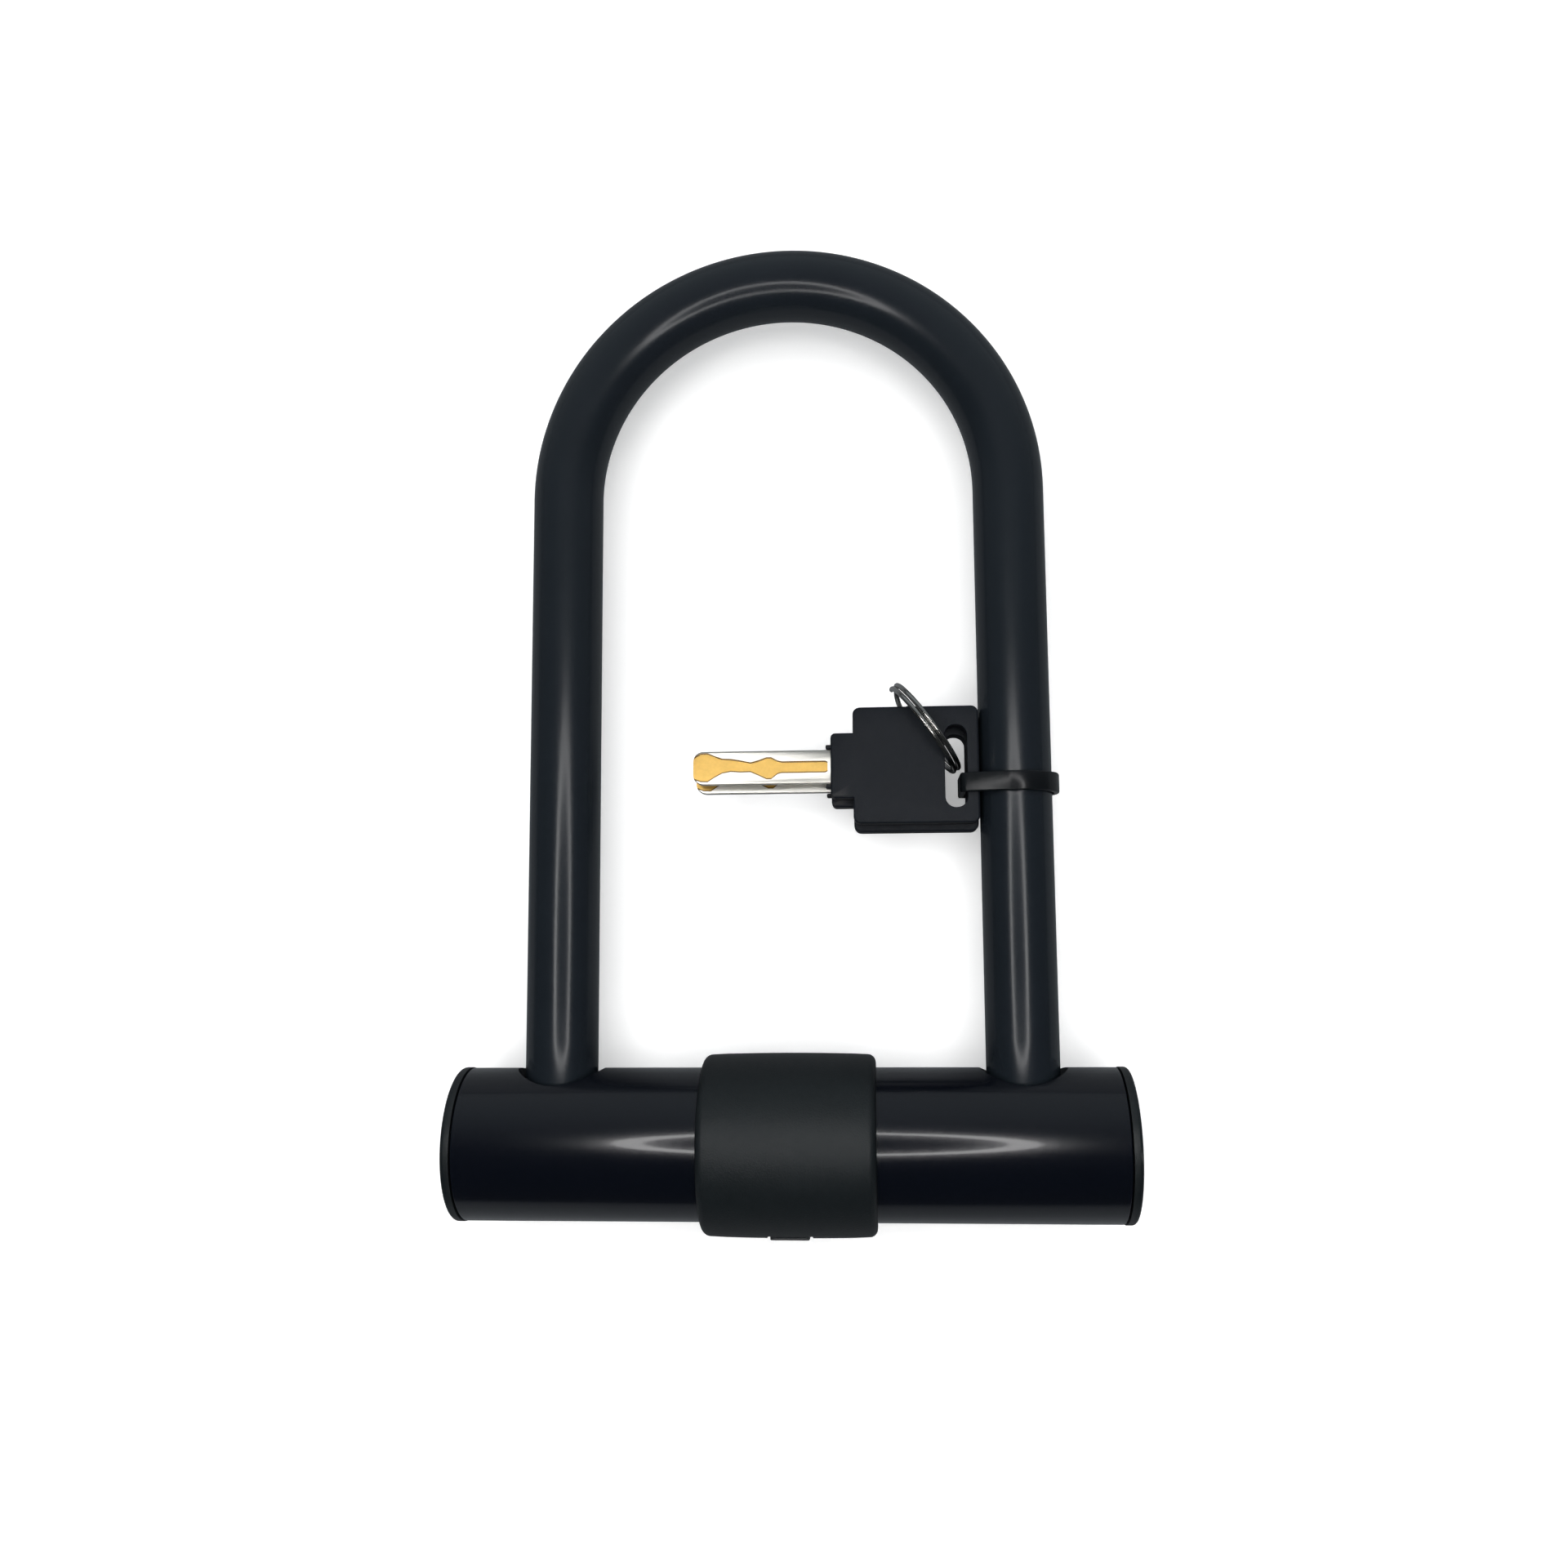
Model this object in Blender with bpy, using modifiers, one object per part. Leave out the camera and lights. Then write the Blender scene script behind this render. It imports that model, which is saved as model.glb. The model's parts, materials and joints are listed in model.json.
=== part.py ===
"""Bicycle U-lock, double bolting, with its two keys tied to one leg.

+X runs along the crossbar, +Y up the legs towards the bend, +Z out of the flat side of the lock.
All lengths are in metres.  The lock is at rest closed but unlocked, with its bolts drawn back.
The origin is under the middle of the whole lock, level with the lowest side of the collar.
"""

import math

import bmesh
import bpy
from mathutils import Matrix, Vector

MM = 0.001
GAP = 0.3 * MM  # left between pieces that touch, or run in each other

# Shackle
LEG_SPACING = 114.5 * MM  # between the axes of the two legs
BEND_HEIGHT = 165.0 * MM  # crossbar's axis to the centre of the bend
STEEL_DIAMETER = 14.0 * MM
COAT_DIAMETER = 18.0 * MM
FOOT_FLOOR = 2.7 * MM  # socket's floor under the foot
SEAT_GAP = 0.4 * MM  # under the foot and under the coat when the shackle is home
COAT_DEPTH = 3.0 * MM  # how far the coat reaches below the crown of the tube's bore

# Crossbar
TUBE_DIAMETER = 37.0 * MM
TUBE_WALL = 2.5 * MM
END_OVERHANG = 22.75 * MM  # leg's axis to the end of the tube
CAP_RIM = 2.2 * MM
CAP_SPIGOT = 6.0 * MM
CAP_WALL = 2.0 * MM
CAP_ROUND = 1.0 * MM
SEAL_WALL = 1.2 * MM
SEAL_HEIGHT = 2.0 * MM
GUIDE_REACH = 15.3 * MM  # socket's inner end, from the leg's axis
PIN_DIAMETER = 4.0 * MM  # spring pins through the tube's wall
PIN_LENGTH = 8.2 * MM
GUIDE_PIN_OFFSET = 11.0 * MM  # outside the leg's axis
HOUSING_PIN_X = 17.0 * MM
HOUSING_LENGTH = 44.0 * MM

# Collar and its sliding dust cover
COLLAR_LENGTH = 42.5 * MM
COLLAR_WALL = 3.3 * MM
COLLAR_CROWN = 0.35 * MM
COLLAR_ROUND = 2.0 * MM
SKIN = 1.5 * MM  # collar's wall over the cover's flange
GRIP_WIDTH = 9.3 * MM
GRIP_PROUD = 0.5 * MM
WINDOW_PLAY = 1.0 * MM  # each side of the grip
FLANGE_OVERLAP = 2.85 * MM
FLANGE_THICKNESS = 1.2 * MM
GRIP_ARC = 19.0  # degrees, each way from the keyhole
FLANGE_ARC = 24.0
COVER_TRAVEL = 45.0
TRACK_PLAY = 2.0

# Lock cylinder
PLUG_RIM = 0.7 * MM  # outside the seats of the drive pins
HEAD_STEP = 0.9 * MM
HEAD_THICKNESS = 2.3 * MM
SHELL_WALL = 2.2 * MM
KEYWAY_WIDTH = 9.0 * MM
KEYWAY_THICKNESS = 3.2 * MM
WAFER_COUNT = 6
WAFER_PITCH = 3.0 * MM
WAFER_THICKNESS = 1.2 * MM
WAFER_HEIGHT = 6.4 * MM
FIRST_WAFER = 1.9 * MM  # behind the plug's head
WAFER_WAVE = 1.1 * MM  # how far the nubs step aside, as the key's groove does

# Cam and bolts
DRIVE_RADIUS = 5.0 * MM
DRIVE_PIN_DIAMETER = 2.6 * MM
DRIVE_PIN_SEAT = 3.5 * MM
SLOT_PLAY = 0.45 * MM
CAM_THICKNESS = 2.2 * MM
CAM_EDGE = 2.3 * MM
TIP_ROOM = 1.3 * MM  # between cam and arms, for the tip of the key
ARM_THICKNESS = 1.8 * MM
ARM_EDGE = 1.0 * MM
ARM_SPLIT = 0.4 * MM  # arm's inner side, from the middle plane
BLOCK_CLEAR = 3.2 * MM  # between the housing's bore and a bolt's block
BOLT_BLOCK_LENGTH = 11.0 * MM
BOLT_BLOCK_HEIGHT = 10.65 * MM
BOLT_BLOCK_WIDTH = 10.0 * MM
BOLT_HEIGHT = 8.0 * MM
BOLT_WIDTH = 9.0 * MM
BOLT_TIP_GAP = 1.2 * MM  # bolt's tip to the foot when drawn back
NOTCH_PLAY = 0.6 * MM

# Keys, ring and tie
KEY_HEIGHT = 93.1 * MM  # upper key's middle line, above the crossbar's axis
KEY_STAGGER = 1.6 * MM
KEY_SEPARATION = 0.4 * MM
BOW_LENGTH = 31.3 * MM
BOW_WIDTH = 29.3 * MM
BOW_THICKNESS = 6.0 * MM
BOW_ROUND = 1.8 * MM
BOSS_LENGTH = 5.6 * MM
BOSS_WIDTH = 16.4 * MM
BOSS_ROUND = 1.2 * MM
BLADE_LENGTH = 34.8 * MM
BLADE_WIDTH = 8.4 * MM
BLADE_THICKNESS = 2.6 * MM
BLADE_ROUND = 2.6 * MM
TANG_LENGTH = 14.0 * MM
GROOVE_WIDTH = 3.6 * MM
GROOVE_DEPTH = 0.5 * MM
STRIP_WIDTH = 3.0 * MM  # of the bow, between its slot and the leg
KEY_SLOT_WIDTH = 5.5 * MM
KEY_SLOT_LENGTH = 20.6 * MM
KEY_SLOT_DROP = 0.5 * MM  # slot's middle below the key's
TIE_HEIGHT = 88.3 * MM
TIE_WIDTH = 4.8 * MM
TIE_THICKNESS = 1.3 * MM
TIE_PLAY = 0.5 * MM
TIE_HEAD = Vector((6.6, 6.4, 4.6)) * MM  # along the strap, across it, outwards
TIE_HEAD_ANGLE = -78.0  # round the leg, from the +X side
TIE_TAIL = 3.0 * MM
RING_RADIUS = 13.0 * MM
RING_WIRE = 1.3 * MM
RING_COIL_GAP = 0.12 * MM
RING_INSET = 2.45 * MM  # ring's crossing, from the slot's edge by the leg
RING_DROP = 0.6 * MM  # below the upper key's middle
RING_LEAN = 36.0  # degrees between the ring's face and the Y axis
RING_STEP = 50.0  # degrees that the wire takes to cross from coil to coil

# Sizes that follow
leg_x = LEG_SPACING / 2
steel_radius = STEEL_DIAMETER / 2
coat_radius = COAT_DIAMETER / 2
tube_radius = TUBE_DIAMETER / 2
bore_radius = tube_radius - TUBE_WALL
coat_end = bore_radius - COAT_DEPTH
insert_radius = bore_radius - GAP  # of all that sits inside the tube
half_tube = leg_x + END_OVERHANG
half_bar = half_tube + GAP + CAP_RIM
socket_floor = -(insert_radius - FOOT_FLOOR)
foot_end = socket_floor + SEAT_GAP
seal_inner = coat_radius + GAP
seal_radius = seal_inner + SEAL_WALL
leg_hole_radius = seal_radius + GAP
seal_seat = coat_end - SEAT_GAP
pin_radius = PIN_DIAMETER / 2
pin_hole_radius = pin_radius + GAP
pin_outer_z = -(tube_radius - GAP)

collar_inner = tube_radius + GAP
collar_outer = collar_inner + COLLAR_WALL
pocket_outer = collar_outer - SKIN
half_grip = GRIP_WIDTH / 2
half_window = half_grip + WINDOW_PLAY
half_flange = half_grip + FLANGE_OVERLAP
flange_inner = collar_inner + GAP
flange_outer = flange_inner + FLANGE_THICKNESS

drive_pin_radius = DRIVE_PIN_DIAMETER / 2
plug_radius = DRIVE_RADIUS + drive_pin_radius + PLUG_RIM
head_radius = plug_radius + HEAD_STEP
shell_bore = plug_radius + GAP
shell_radius = shell_bore + SHELL_WALL
cam_radius = DRIVE_RADIUS + drive_pin_radius + CAM_EDGE
housing_bore = max(shell_radius, cam_radius) + GAP
keyhole_radius = housing_bore
plug_face = -math.sqrt(tube_radius**2 - head_radius**2)
shell_face = -math.sqrt(tube_radius**2 - shell_radius**2)
head_back = plug_face + HEAD_THICKNESS

drive_side = DRIVE_RADIUS * math.sin(math.radians(45))  # pin's place across and along at rest
stroke = 2 * drive_side
slot_half = drive_pin_radius + SLOT_PLAY
arm_outer = DRIVE_RADIUS + slot_half + ARM_EDGE
arm_top = math.sqrt(insert_radius**2 - arm_outer**2)
arm_bottom = arm_top - ARM_THICKNESS
cam_top = arm_bottom - TIP_ROOM
cam_bottom = cam_top - CAM_THICKNESS
plug_end = cam_bottom - GAP
shell_end = plug_end - GAP
block_start = housing_bore + BLOCK_CLEAR
block_end = block_start + BOLT_BLOCK_LENGTH
bolt_bottom = arm_top - BOLT_BLOCK_HEIGHT
bolt_tip = leg_x - steel_radius - BOLT_TIP_GAP
notch_floor = bolt_tip + stroke + SEAT_GAP

key_right = leg_x - coat_radius - GAP
bow_left = key_right - BOW_LENGTH
boss_left = bow_left - BOSS_LENGTH
blade_tip = boss_left - BLADE_LENGTH
slot_right = key_right - STRIP_WIDTH
stack_half = BOW_THICKNESS + KEY_SEPARATION / 2  # both keys, from the middle plane

lowest_y = -(collar_outer + GRIP_PROUD)
highest_y = BEND_HEIGHT + leg_x + coat_radius
bar_place = Vector((0, -(lowest_y + highest_y) / 2, collar_outer))

LOCK = bpy.data.collections.new("u_lock")
CUTTERS = bpy.data.collections.new("cutters")


def clear_scene():
    for obj in list(bpy.data.objects):
        bpy.data.objects.remove(obj, do_unlink=True)
    for collection in (LOCK, CUTTERS):
        bpy.context.scene.collection.children.link(collection)


def material(name, colour, roughness, metallic=0.0):
    made = bpy.data.materials.new(name)
    made.use_nodes = True
    shader = made.node_tree.nodes["Principled BSDF"]
    shader.inputs["Base Color"].default_value = (*colour, 1.0)
    shader.inputs["Roughness"].default_value = roughness
    shader.inputs["Metallic"].default_value = metallic
    made.diffuse_color = (*colour, 1.0)
    return made


# Helpers: each piece's coordinates are those of its parent empty


def empty(name, parent=None, location=(0, 0, 0), rotation=(0, 0, 0)):
    made = bpy.data.objects.new(name, None)
    made.empty_display_size = 5 * MM
    made.location = location
    made.rotation_euler = rotation
    made.parent = parent
    LOCK.objects.link(made)
    return made


def finish(obj, parent, finish_material=None):
    """Puts a piece in the lock, or among the cutters when it has no material."""
    obj.parent = parent
    if finish_material:
        obj.data.materials.append(finish_material)
        LOCK.objects.link(obj)
    else:
        obj.hide_render = True
        obj.display_type = "WIRE"
        CUTTERS.objects.link(obj)
    return obj


def from_bmesh(name, bm, parent, finish_material=None, smooth=False):
    mesh = bpy.data.meshes.new(name)
    bm.to_mesh(mesh)
    bm.free()
    if smooth:
        mesh.shade_smooth()
        mesh.set_sharp_from_angle(angle=math.radians(35))
    return finish(bpy.data.objects.new(name, mesh), parent, finish_material)


def box(name, low, high, parent, finish_material=None, round_along=None, radius=0.0, segments=4):
    """A box between two corners; the four edges along one axis can be rounded."""
    low, high = Vector(low), Vector(high)
    size, middle = high - low, (low + high) / 2
    bm = bmesh.new()
    bmesh.ops.create_cube(bm, size=1.0, matrix=Matrix.Diagonal((*size, 1.0)))
    if round_along is not None:
        along = [e for e in bm.edges if abs((e.verts[0].co - e.verts[1].co)[round_along]) > 1e-6]
        bmesh.ops.bevel(bm, geom=along, offset=radius, segments=segments, profile=0.5, affect="EDGES")
    made = from_bmesh(name, bm, parent, finish_material, smooth=round_along is not None)
    made.location = middle
    return made


def rod(name, radius, start, end, parent, finish_material=None, segments=24):
    """A round bar between two points."""
    start, end = Vector(start), Vector(end)
    bm = bmesh.new()
    bmesh.ops.create_cone(
        bm, cap_ends=True, segments=segments, radius1=radius, radius2=radius, depth=(end - start).length
    )
    made = from_bmesh(name, bm, parent, finish_material, smooth=True)
    made.location = (start + end) / 2
    made.rotation_euler = (end - start).to_track_quat("Z", "Y").to_euler()
    return made


def turned(name, profile, axis, parent, finish_material=None, steps=48, ring=False):
    """A profile of (radius, distance along the axis) points, outer side from far to near, turned round an axis."""
    bm = bmesh.new()
    points = [bm.verts.new((radius, 0, along)) for radius, along in profile]
    for first, second in zip(points, points[1:]):
        bm.edges.new((first, second))
    if ring:
        bm.edges.new((points[-1], points[0]))
    made = from_bmesh(name, bm, parent, finish_material)
    made.rotation_euler = {"X": (0, math.pi / 2, 0), "Y": (-math.pi / 2, 0, 0), "Z": (0, 0, 0)}[axis]
    screw = made.modifiers.new("turn", "SCREW")
    screw.steps = screw.render_steps = steps
    screw.use_merge_vertices = True
    screw.merge_threshold = 0.00001
    screw.use_smooth_shade = True
    return made


def sector(name, inner, outer, half_width, start, end, parent, finish_material=None, step=4.0):
    """A piece of a sleeve round the X axis, between two angles from -Y towards -Z, in degrees."""
    bm = bmesh.new()
    corners = [(-half_width, inner), (half_width, inner), (half_width, outer), (-half_width, outer)]
    turn = Matrix.Rotation(math.radians(start), 3, "X")
    face = bm.faces.new([bm.verts.new(turn @ Vector((x, -radius, 0))) for x, radius in corners])
    bmesh.ops.spin(
        bm,
        geom=[face, *face.verts, *face.edges],
        axis=(1, 0, 0),
        cent=(0, 0, 0),
        angle=math.radians(end - start),
        steps=round((end - start) / step),
        use_duplicate=False,
    )
    bmesh.ops.recalc_face_normals(bm, faces=bm.faces)
    return from_bmesh(name, bm, parent, finish_material, smooth=True)


def cut(target, *cutters):
    for cutter in cutters:
        boolean = target.modifiers.new(cutter.name, "BOOLEAN")
        boolean.object = cutter


def join(target, *others):
    for other in others:
        boolean = target.modifiers.new(other.name, "BOOLEAN")
        boolean.operation = "UNION"
        boolean.object = other


def curve(name, lines, cyclic=False, dimensions="3D"):
    """A curve object of straight steps through each line's points."""
    data = bpy.data.curves.new(name, "CURVE")
    data.dimensions = dimensions
    for points in lines:
        spline = data.splines.new("POLY")
        spline.points.add(len(points) - 1)
        spline.use_cyclic_u = cyclic
        for point, place in zip(spline.points, points):
            point.co = (*place, *([0.0] * (3 - len(place))), 1.0)
    return bpy.data.objects.new(name, data)


def as_mesh(obj, parent, finish_material=None, smooth=True):
    """The mesh of a curve object, with its caps welded; the curve is removed."""
    name = obj.name
    LOCK.objects.link(obj)
    bpy.context.view_layer.update()
    mesh = bpy.data.meshes.new_from_object(obj.evaluated_get(bpy.context.evaluated_depsgraph_get()))
    place = obj.matrix_world.copy()
    bpy.data.objects.remove(obj, do_unlink=True)
    bm = bmesh.new()
    bm.from_mesh(mesh)
    bpy.data.meshes.remove(mesh)
    bmesh.ops.remove_doubles(bm, verts=bm.verts, dist=0.000001)
    made = from_bmesh(name, bm, parent, finish_material, smooth)
    made.matrix_local = place
    return made


def arc(centre, radius, start, end, steps):
    """Points on an arc, angles in degrees, both ends included."""
    angles = [math.radians(start + (end - start) * i / steps) for i in range(steps + 1)]
    return [(centre[0] + radius * math.cos(a), centre[1] + radius * math.sin(a)) for a in angles]


def shackle_line(lowest, bend_steps=24):
    """From one leg's lower end up, round the bend and down to the other's."""
    bend = arc((0, BEND_HEIGHT), leg_x, 0, 180, bend_steps)
    return [(leg_x, lowest), *bend, (-leg_x, lowest)]


# Shackle


def make_shackle(parent, steel, vinyl):
    line = curve("shackle_bar", [shackle_line(foot_end)])
    line.data.bevel_depth = steel_radius
    line.data.bevel_resolution = 8
    line.data.use_fill_caps = True
    bar = as_mesh(line, parent, steel)
    for side, sign in (("left", -1), ("right", 1)):
        inner, floor = sorted((sign * (leg_x - 2 * steel_radius), sign * notch_floor))
        low = (inner, bolt_bottom - NOTCH_PLAY, -2 * steel_radius)
        high = (floor, bolt_bottom + BOLT_HEIGHT + NOTCH_PLAY, 2 * steel_radius)
        cut(bar, box(f"notch_{side}", low, high, parent))

    sleeve = curve("shackle_coat", [shackle_line(coat_end)])
    sleeve.data.bevel_depth = coat_radius
    sleeve.data.bevel_resolution = 10
    coat = as_mesh(sleeve, parent, vinyl)
    wall = coat.modifiers.new("wall", "SOLIDIFY")
    wall.thickness = coat_radius - steel_radius - GAP
    wall.offset = -1
    wall.use_even_offset = True


# Crossbar


def make_tube(parent, paint):
    profile = [(tube_radius, half_tube), (tube_radius, -half_tube), (bore_radius, -half_tube), (bore_radius, half_tube)]
    tube = turned("crossbar_tube", profile, "X", parent, paint, steps=64, ring=True)
    far = 2 * tube_radius
    for side, sign in (("left", -1), ("right", 1)):
        leg = sign * leg_x
        cut(tube, rod(f"leg_hole_{side}", leg_hole_radius, (leg, 0, 0), (leg, far, 0), parent, segments=40))
        for kind, x in (("guide", sign * (leg_x + GUIDE_PIN_OFFSET)), ("housing", sign * HOUSING_PIN_X)):
            hole = rod(f"{kind}_pin_hole_{side}", pin_hole_radius, (x, 0, 0), (x, 0, -far), parent, segments=16)
            cut(tube, hole)
    cut(tube, rod("keyhole", keyhole_radius, (0, 0, 0), (0, -far, 0), parent, segments=32))


def make_end_caps(parent, plastic):
    outer, rim = half_bar, half_tube + GAP
    profile = [
        (0, outer),
        *reversed(arc((tube_radius - CAP_ROUND, outer - CAP_ROUND), CAP_ROUND, 0, 90, 3)),
        (tube_radius, rim),
        (insert_radius, rim),
        (insert_radius, half_tube - CAP_SPIGOT),
        (insert_radius - CAP_WALL, half_tube - CAP_SPIGOT),
        (insert_radius - CAP_WALL, rim),
        (0, rim),
    ]
    for side, turn in (("left", math.pi), ("right", 0)):
        cap = turned(f"end_cap_{side}", profile, "X", parent, plastic)
        cap.rotation_euler = (0, math.pi / 2 - turn, 0)


def make_leg_fittings(parent, zinc, rubber, steel):
    """The socket, seal ring and spring pin at each leg."""
    ends = (leg_x - GUIDE_REACH, half_tube - CAP_SPIGOT - GAP)
    for side, sign in (("left", -1), ("right", 1)):
        leg = sign * leg_x
        guide = rod(
            f"foot_guide_{side}", insert_radius, (sign * ends[0], 0, 0), (sign * ends[1], 0, 0), parent, zinc, 48
        )
        far = 2 * tube_radius
        foot_hole = rod(
            f"foot_hole_{side}", steel_radius + GAP, (leg, socket_floor, 0), (leg, far, 0), parent, segments=32
        )
        seal_hole = rod(
            f"seal_seat_{side}", leg_hole_radius, (leg, seal_seat, 0), (leg, far, 0), parent, segments=40
        )
        x_low, x_high = sorted((sign * (ends[0] - BOLT_WIDTH), leg))
        channel = box(
            f"bolt_channel_{side}",
            (x_low, bolt_bottom - GAP, -BOLT_WIDTH / 2 - GAP),
            (x_high, bolt_bottom + BOLT_HEIGHT + GAP, BOLT_WIDTH / 2 + GAP),
            parent,
        )
        pin_x = sign * (leg_x + GUIDE_PIN_OFFSET)
        inner_z = pin_outer_z + PIN_LENGTH
        pin_hole = rod(
            f"guide_hole_{side}", pin_hole_radius, (pin_x, 0, inner_z + GAP), (pin_x, 0, -far), parent, segments=16
        )
        cut(guide, foot_hole, seal_hole, channel, pin_hole)
        rod(
            f"guide_pin_{side}", pin_radius, (pin_x, 0, pin_outer_z), (pin_x, 0, inner_z), parent, steel, 16
        )
        seal_low = seal_seat + GAP
        seal_top = seal_low + SEAL_HEIGHT
        profile = [
            (seal_radius, seal_top), (seal_radius, seal_low), (seal_inner, seal_low), (seal_inner, seal_top)
        ]
        seal = turned(f"leg_seal_{side}", profile, "Y", parent, rubber, steps=40, ring=True)
        seal.location = (leg, 0, 0)


def make_housing(parent, zinc, steel):
    half = HOUSING_LENGTH / 2
    far = 2 * tube_radius
    housing = rod("core_housing", insert_radius, (-half, 0, 0), (half, 0, 0), parent, zinc, 48)
    cut(housing, rod("cylinder_bore", housing_bore, (0, -far, 0), (0, far, 0), parent, segments=40))
    arm_side = arm_outer + GAP
    cut(housing, box("arm_channel", (-far, arm_bottom - GAP, -arm_side), (far, far, arm_side), parent))
    for side, sign in (("left", -1), ("right", 1)):
        x_low, x_high = sorted((sign * (block_start - GAP), sign * far))
        block_side = BOLT_BLOCK_WIDTH / 2 + GAP
        cut(housing, box(
            f"block_channel_{side}", (x_low, bolt_bottom - GAP, -block_side), (x_high, far, block_side), parent
        ))
        x = sign * HOUSING_PIN_X
        inner_z = pin_outer_z + PIN_LENGTH
        cut(housing, rod(
            f"housing_hole_{side}", pin_hole_radius, (x, 0, inner_z + GAP), (x, 0, -far), parent, segments=16
        ))
        rod(f"housing_pin_{side}", pin_radius, (x, 0, pin_outer_z), (x, 0, inner_z), parent, steel, 16)


# Collar and dust cover


def make_collar(parent, plastic):
    half = COLLAR_LENGTH / 2
    edge = collar_outer - COLLAR_CROWN

    def crown(x):
        return collar_outer - COLLAR_CROWN * (x / half) ** 2

    shoulder = half - COLLAR_ROUND
    far_round = arc((edge - COLLAR_ROUND, shoulder), COLLAR_ROUND, 90, 0, 4)
    near_round = arc((edge - COLLAR_ROUND, -shoulder), COLLAR_ROUND, 0, -90, 4)
    side = [(crown(x), x) for x in (shoulder * i / 3 for i in (2, 1, 0, -1, -2))]
    profile = [*far_round, *side, *near_round, (collar_inner, -half), (collar_inner, half)]
    collar = turned("collar", profile, "X", parent, plastic, steps=72, ring=True)
    start = -GRIP_ARC - TRACK_PLAY
    end = GRIP_ARC + COVER_TRAVEL + TRACK_PLAY
    beyond = collar_outer + COLLAR_WALL
    window = sector("cover_window", collar_inner, beyond, half_window, start, end, parent)
    arc_room = FLANGE_ARC - GRIP_ARC
    pocket = sector(
        "cover_pocket", collar_inner - GAP, pocket_outer, half_flange + GAP, start - arc_room, end + arc_room, parent
    )
    cut(collar, window, pocket)


def make_shutter(parent, plastic):
    shutter = sector(
        "shutter", flange_inner, flange_outer, half_flange, -FLANGE_ARC, FLANGE_ARC, parent, plastic, step=3.0
    )
    grip = sector(
        "shutter_grip", flange_inner + FLANGE_THICKNESS / 2, collar_outer + GRIP_PROUD, half_grip,
        -GRIP_ARC, GRIP_ARC, parent, step=3.8,
    )
    join(shutter, grip)


# Lock cylinder, cam and bolts


def make_cylinder(parent, plug_parent, brass, wafer_brass):
    step = head_back + GAP
    profile = [
        (shell_radius, shell_end), (shell_radius, shell_face),
        (head_radius + GAP, shell_face), (head_radius + GAP, step),
        (shell_bore, step), (shell_bore, shell_end),
    ]
    turned("cylinder_shell", profile, "Y", parent, brass, steps=40, ring=True)

    profile = [
        (0, plug_end), (plug_radius, plug_end), (plug_radius, head_back),
        (head_radius, head_back), (head_radius, plug_face), (0, plug_face),
    ]
    plug = turned("plug", profile, "Y", plug_parent, brass, steps=40)
    half_thick, half_wide = KEYWAY_THICKNESS / 2, KEYWAY_WIDTH / 2
    beyond = plug_radius + HEAD_STEP
    cut(plug, box(
        "keyway", (-half_thick, plug_face - beyond, -half_wide), (half_thick, plug_end + beyond, half_wide), plug_parent
    ))
    for sign in (-1, 1):
        x, z = sign * drive_side, -sign * drive_side
        seat = plug_end - DRIVE_PIN_SEAT - GAP
        cut(plug, rod(
            f"pin_seat_{sign}", drive_pin_radius + GAP, (x, seat, z), (x, plug_end + beyond, z), plug_parent,
            segments=16,
        ))

    first = head_back + FIRST_WAFER
    for number in range(WAFER_COUNT):
        y = first + number * WAFER_PITCH
        sign = 1 if number % 2 == 0 else -1
        inner = half_thick + GAP
        outer = math.sqrt((plug_radius - GAP) ** 2 - (WAFER_HEIGHT / 2) ** 2)
        half_wafer, half_high = WAFER_THICKNESS / 2, WAFER_HEIGHT / 2
        x_low, x_high = sorted((sign * half_thick / 2, sign * beyond))
        slot = box(
            f"wafer_slot_{number + 1}",
            (x_low, y - half_wafer - GAP, -half_high - GAP), (x_high, y + half_wafer + GAP, half_high + GAP),
            plug_parent,
        )
        cut(plug, slot)
        x_low, x_high = sorted((sign * inner, sign * outer))
        wafer = box(
            f"wafer_{number + 1}", (x_low, y - half_wafer, -half_high), (x_high, y + half_wafer, half_high),
            plug_parent, wafer_brass, round_along=1, radius=half_wafer / 2, segments=2,
        )
        nub_z = WAFER_WAVE * math.sin(math.radians(72 * number + 20))
        x_low, x_high = sorted((sign * half_thick / 2, sign * (inner + half_wafer)))
        nub = box(
            f"wafer_nub_{number + 1}",
            (x_low, y - half_wafer * 0.8, nub_z - half_wafer), (x_high, y + half_wafer * 0.8, nub_z + half_wafer),
            plug_parent,
        )
        join(wafer, nub)


def make_cam(parent, steel):
    cam = rod("cam", cam_radius, (0, cam_bottom, 0), (0, cam_top, 0), parent, steel, 40)
    half_thick, half_wide = KEYWAY_THICKNESS / 2, KEYWAY_WIDTH / 2
    beyond = 2 * CAM_THICKNESS
    cut(cam, box(
        "cam_keyway", (-half_thick, cam_bottom - beyond, -half_wide), (half_thick, cam_top + beyond, half_wide), parent
    ))
    for side, sign in (("left", 1), ("right", -1)):
        x, z = sign * drive_side, -sign * drive_side
        cut(cam, rod(
            f"cam_pin_hole_{side}", drive_pin_radius + GAP, (x, cam_bottom - beyond, z), (x, cam_top + beyond, z),
            parent, segments=16,
        ))
        rod(
            f"drive_pin_{side}", drive_pin_radius, (x, plug_end - DRIVE_PIN_SEAT, z), (x, arm_top, z), parent, steel, 16
        )


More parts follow.
